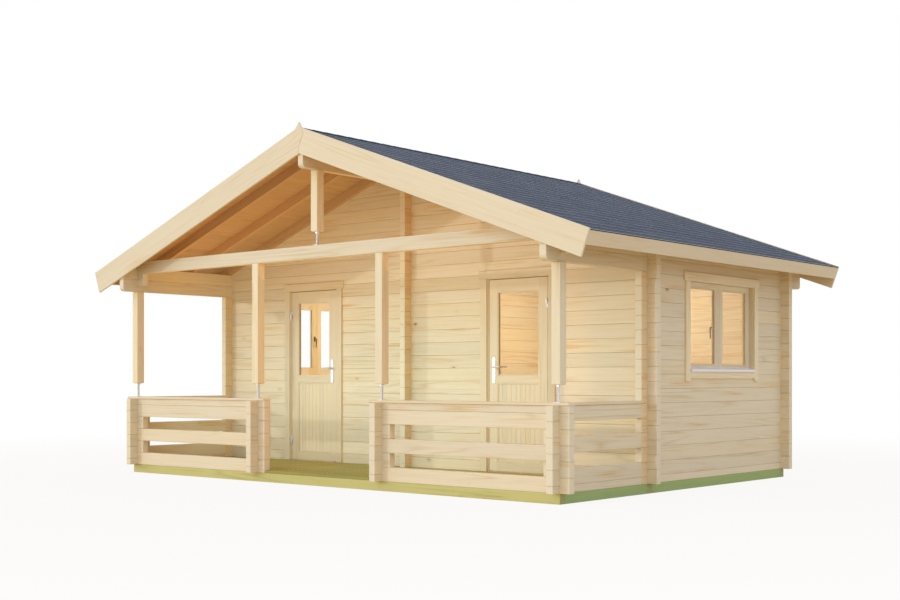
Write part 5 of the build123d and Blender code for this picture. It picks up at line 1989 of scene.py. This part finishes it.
@dataclass
class Studio:
    """Camera at the photograph's place, soft light, white surroundings and a pale floor."""

    camera_place: Triple = (9.1617, -10.8043, 1.0345)
    camera_turn: float = math.radians(40.5847)
    lens: float = 51.834
    shift: float = 0.0878
    sky: float = 0.85
    sky_tint: Colour = (0.92, 1.02, 1.30)
    suns: tuple[tuple[str, float, float], ...] = (
        ("key", 0.45, math.radians(1.2)), ("soft_key", 0.90, math.radians(80.0)),
    )
    sun_colour: Colour = (0.99, 1.0, 0.99)
    sun_way: Triple = (0.80, 1.0, -0.206)
    wall: Glow = Glow("wall_light", 10.8, (5.0, 1.2), (0.75, 1.12, 1.17), (0, 1, 0))
    wall_gap: float = 0.20
    wall_rise: float = 0.45
    gable: Glow = Glow("gable_light", 6.2, (4.4, 0.6), (1.0, 0.50, 0.13), (0, 0.4, 0.92))
    gable_gap: float = 0.25
    gable_rise: float = 0.93
    beside: Glow = Glow("side_light", 5.2, (1.0, 1.6), (1.0, 0.34, 0.04), (-1, -0.5, 0))
    beside_gap: float = 0.15
    beside_rise: float = 0.5
    middle_x: float = -0.40
    middle_share: float = 0.5
    room: Glow = Glow("room_light", 35.0, (1.2, 1.2), (1.0, 0.91, 0.76))
    room_height: float = 2.45
    floor_half: float = 150.0
    floor_drop: float = -0.001
    floor_colour: Colour = (0.78, 0.60, 0.36)
    floor_fade: Pair = (5.0, 13.0)
    floor_glow: float = 0.90

    def camera(self) -> None:
        """Sets the camera."""
        data = bpy.data.cameras.new("camera")
        data.lens = self.lens
        data.shift_y = self.shift
        camera = show("camera", data)
        camera.location = self.camera_place
        camera.rotation_euler = (math.radians(90), 0, self.camera_turn)
        bpy.context.scene.camera = camera

    def seen_directly(self, graph: NodeGraph) -> Socket:
        """Marks rays that show the surroundings themselves.

        Args:
            graph: node graph of a material or the world.

        Returns:
            Socket that is 1 for camera, glossy and transmitted rays.
        """
        path = graph.add("ShaderNodeLightPath").outputs
        shown = graph.math("MAXIMUM", path["Is Camera Ray"], path["Is Glossy Ray"])
        return graph.math("MAXIMUM", shown, path["Is Transmission Ray"])

    def world(self) -> None:
        """Sets an even sky that shows as white."""
        world = bpy.data.worlds.new("white_surroundings")
        bpy.context.scene.world = world
        world.use_nodes = True
        graph = NodeGraph(world.node_tree)
        cool = tuple(self.sky * channel for channel in self.sky_tint)
        colour = graph.mix(self.seen_directly(graph), cool, WHITE)
        graph.feed(world.node_tree.nodes["Background"], {"Color": colour})

    def lamps(self) -> None:
        """Sets a key light from the front left and soft lights on the terrace and in each room."""
        for name, power, angle in self.suns:
            key = bpy.data.lights.new(name, "SUN")
            key.energy, key.angle, key.color = power, angle, self.sun_colour
            lamp = show(name, key)
            lamp.rotation_euler = Vector(self.sun_way).to_track_quat("-Z", "Y").to_euler()
        tie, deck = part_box("tie_beam"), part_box("terrace_deck")
        low, tall = deck[1].z, tie[0].z - deck[1].z
        self.wall.hang((0, tie[1].y + self.wall_gap, low + self.wall_rise * tall))
        self.gable.hang((self.middle_x, tie[1].y + self.gable_gap, low + self.gable_rise * tall))
        for x, share in ((deck[1].x - self.beside_gap, 1.0), (self.middle_x, self.middle_share)):
            self.beside.hang((x, (deck[0].y + deck[1].y) / 2, low + self.beside_rise * tall), share)
        for start, end in islands("room_floors"):
            self.room.hang(((start.x + end.x) / 2, (start.y + end.y) / 2, self.room_height))

    def floor(self) -> None:
        """Lays a pale floor that shows almost white and keeps a soft shadow."""
        mesh = bpy.data.meshes.new("floor")
        half = self.floor_half
        square = ((-half, -half), (half, -half), (half, half), (-half, half))
        mesh.from_pydata([(*spot, self.floor_drop) for spot in square], [], [(0, 1, 2, 3)])
        floor = show("floor", mesh)
        material = bpy.data.materials.new("pale_floor")
        material.use_nodes = True
        graph = NodeGraph(material.node_tree)
        graph.tree.nodes.clear()
        matt = graph.add("ShaderNodeBsdfDiffuse", {"Color": self.floor_colour})
        glow = graph.add("ShaderNodeEmission", {"Color": WHITE, "Strength": 1.0})
        away = graph.add("ShaderNodeVectorMath", {0: graph.spot()}, operation="LENGTH").outputs["Value"]
        bright = graph.ramp(away, *self.floor_fade, self.floor_glow, 1.0)
        share = graph.math("MULTIPLY", self.seen_directly(graph), bright)
        both = graph.add("ShaderNodeMixShader", {0: share, 1: matt, 2: glow})
        graph.add("ShaderNodeOutputMaterial", {"Surface": both})
        mesh.materials.append(material)

    def build(self) -> None:
        """Sets camera, world, lights and floor."""
        bpy.context.scene.view_settings.view_transform = "Standard"
        self.camera()
        self.world()
        self.lamps()
        self.floor()


def main() -> None:
    """Builds the sub-assemblies in order and sets the studio."""
    logging.basicConfig(level=logging.INFO, format="%(name)s %(message)s")
    Ground().build()
    LogWork().build()
    Porch().build()
    Roof().build()
    DoorSurrounds().build()
    for side in Side:
        Door(side).build()
    Windows().build()
    Studio().build()


if __name__ == "__main__":
    main()
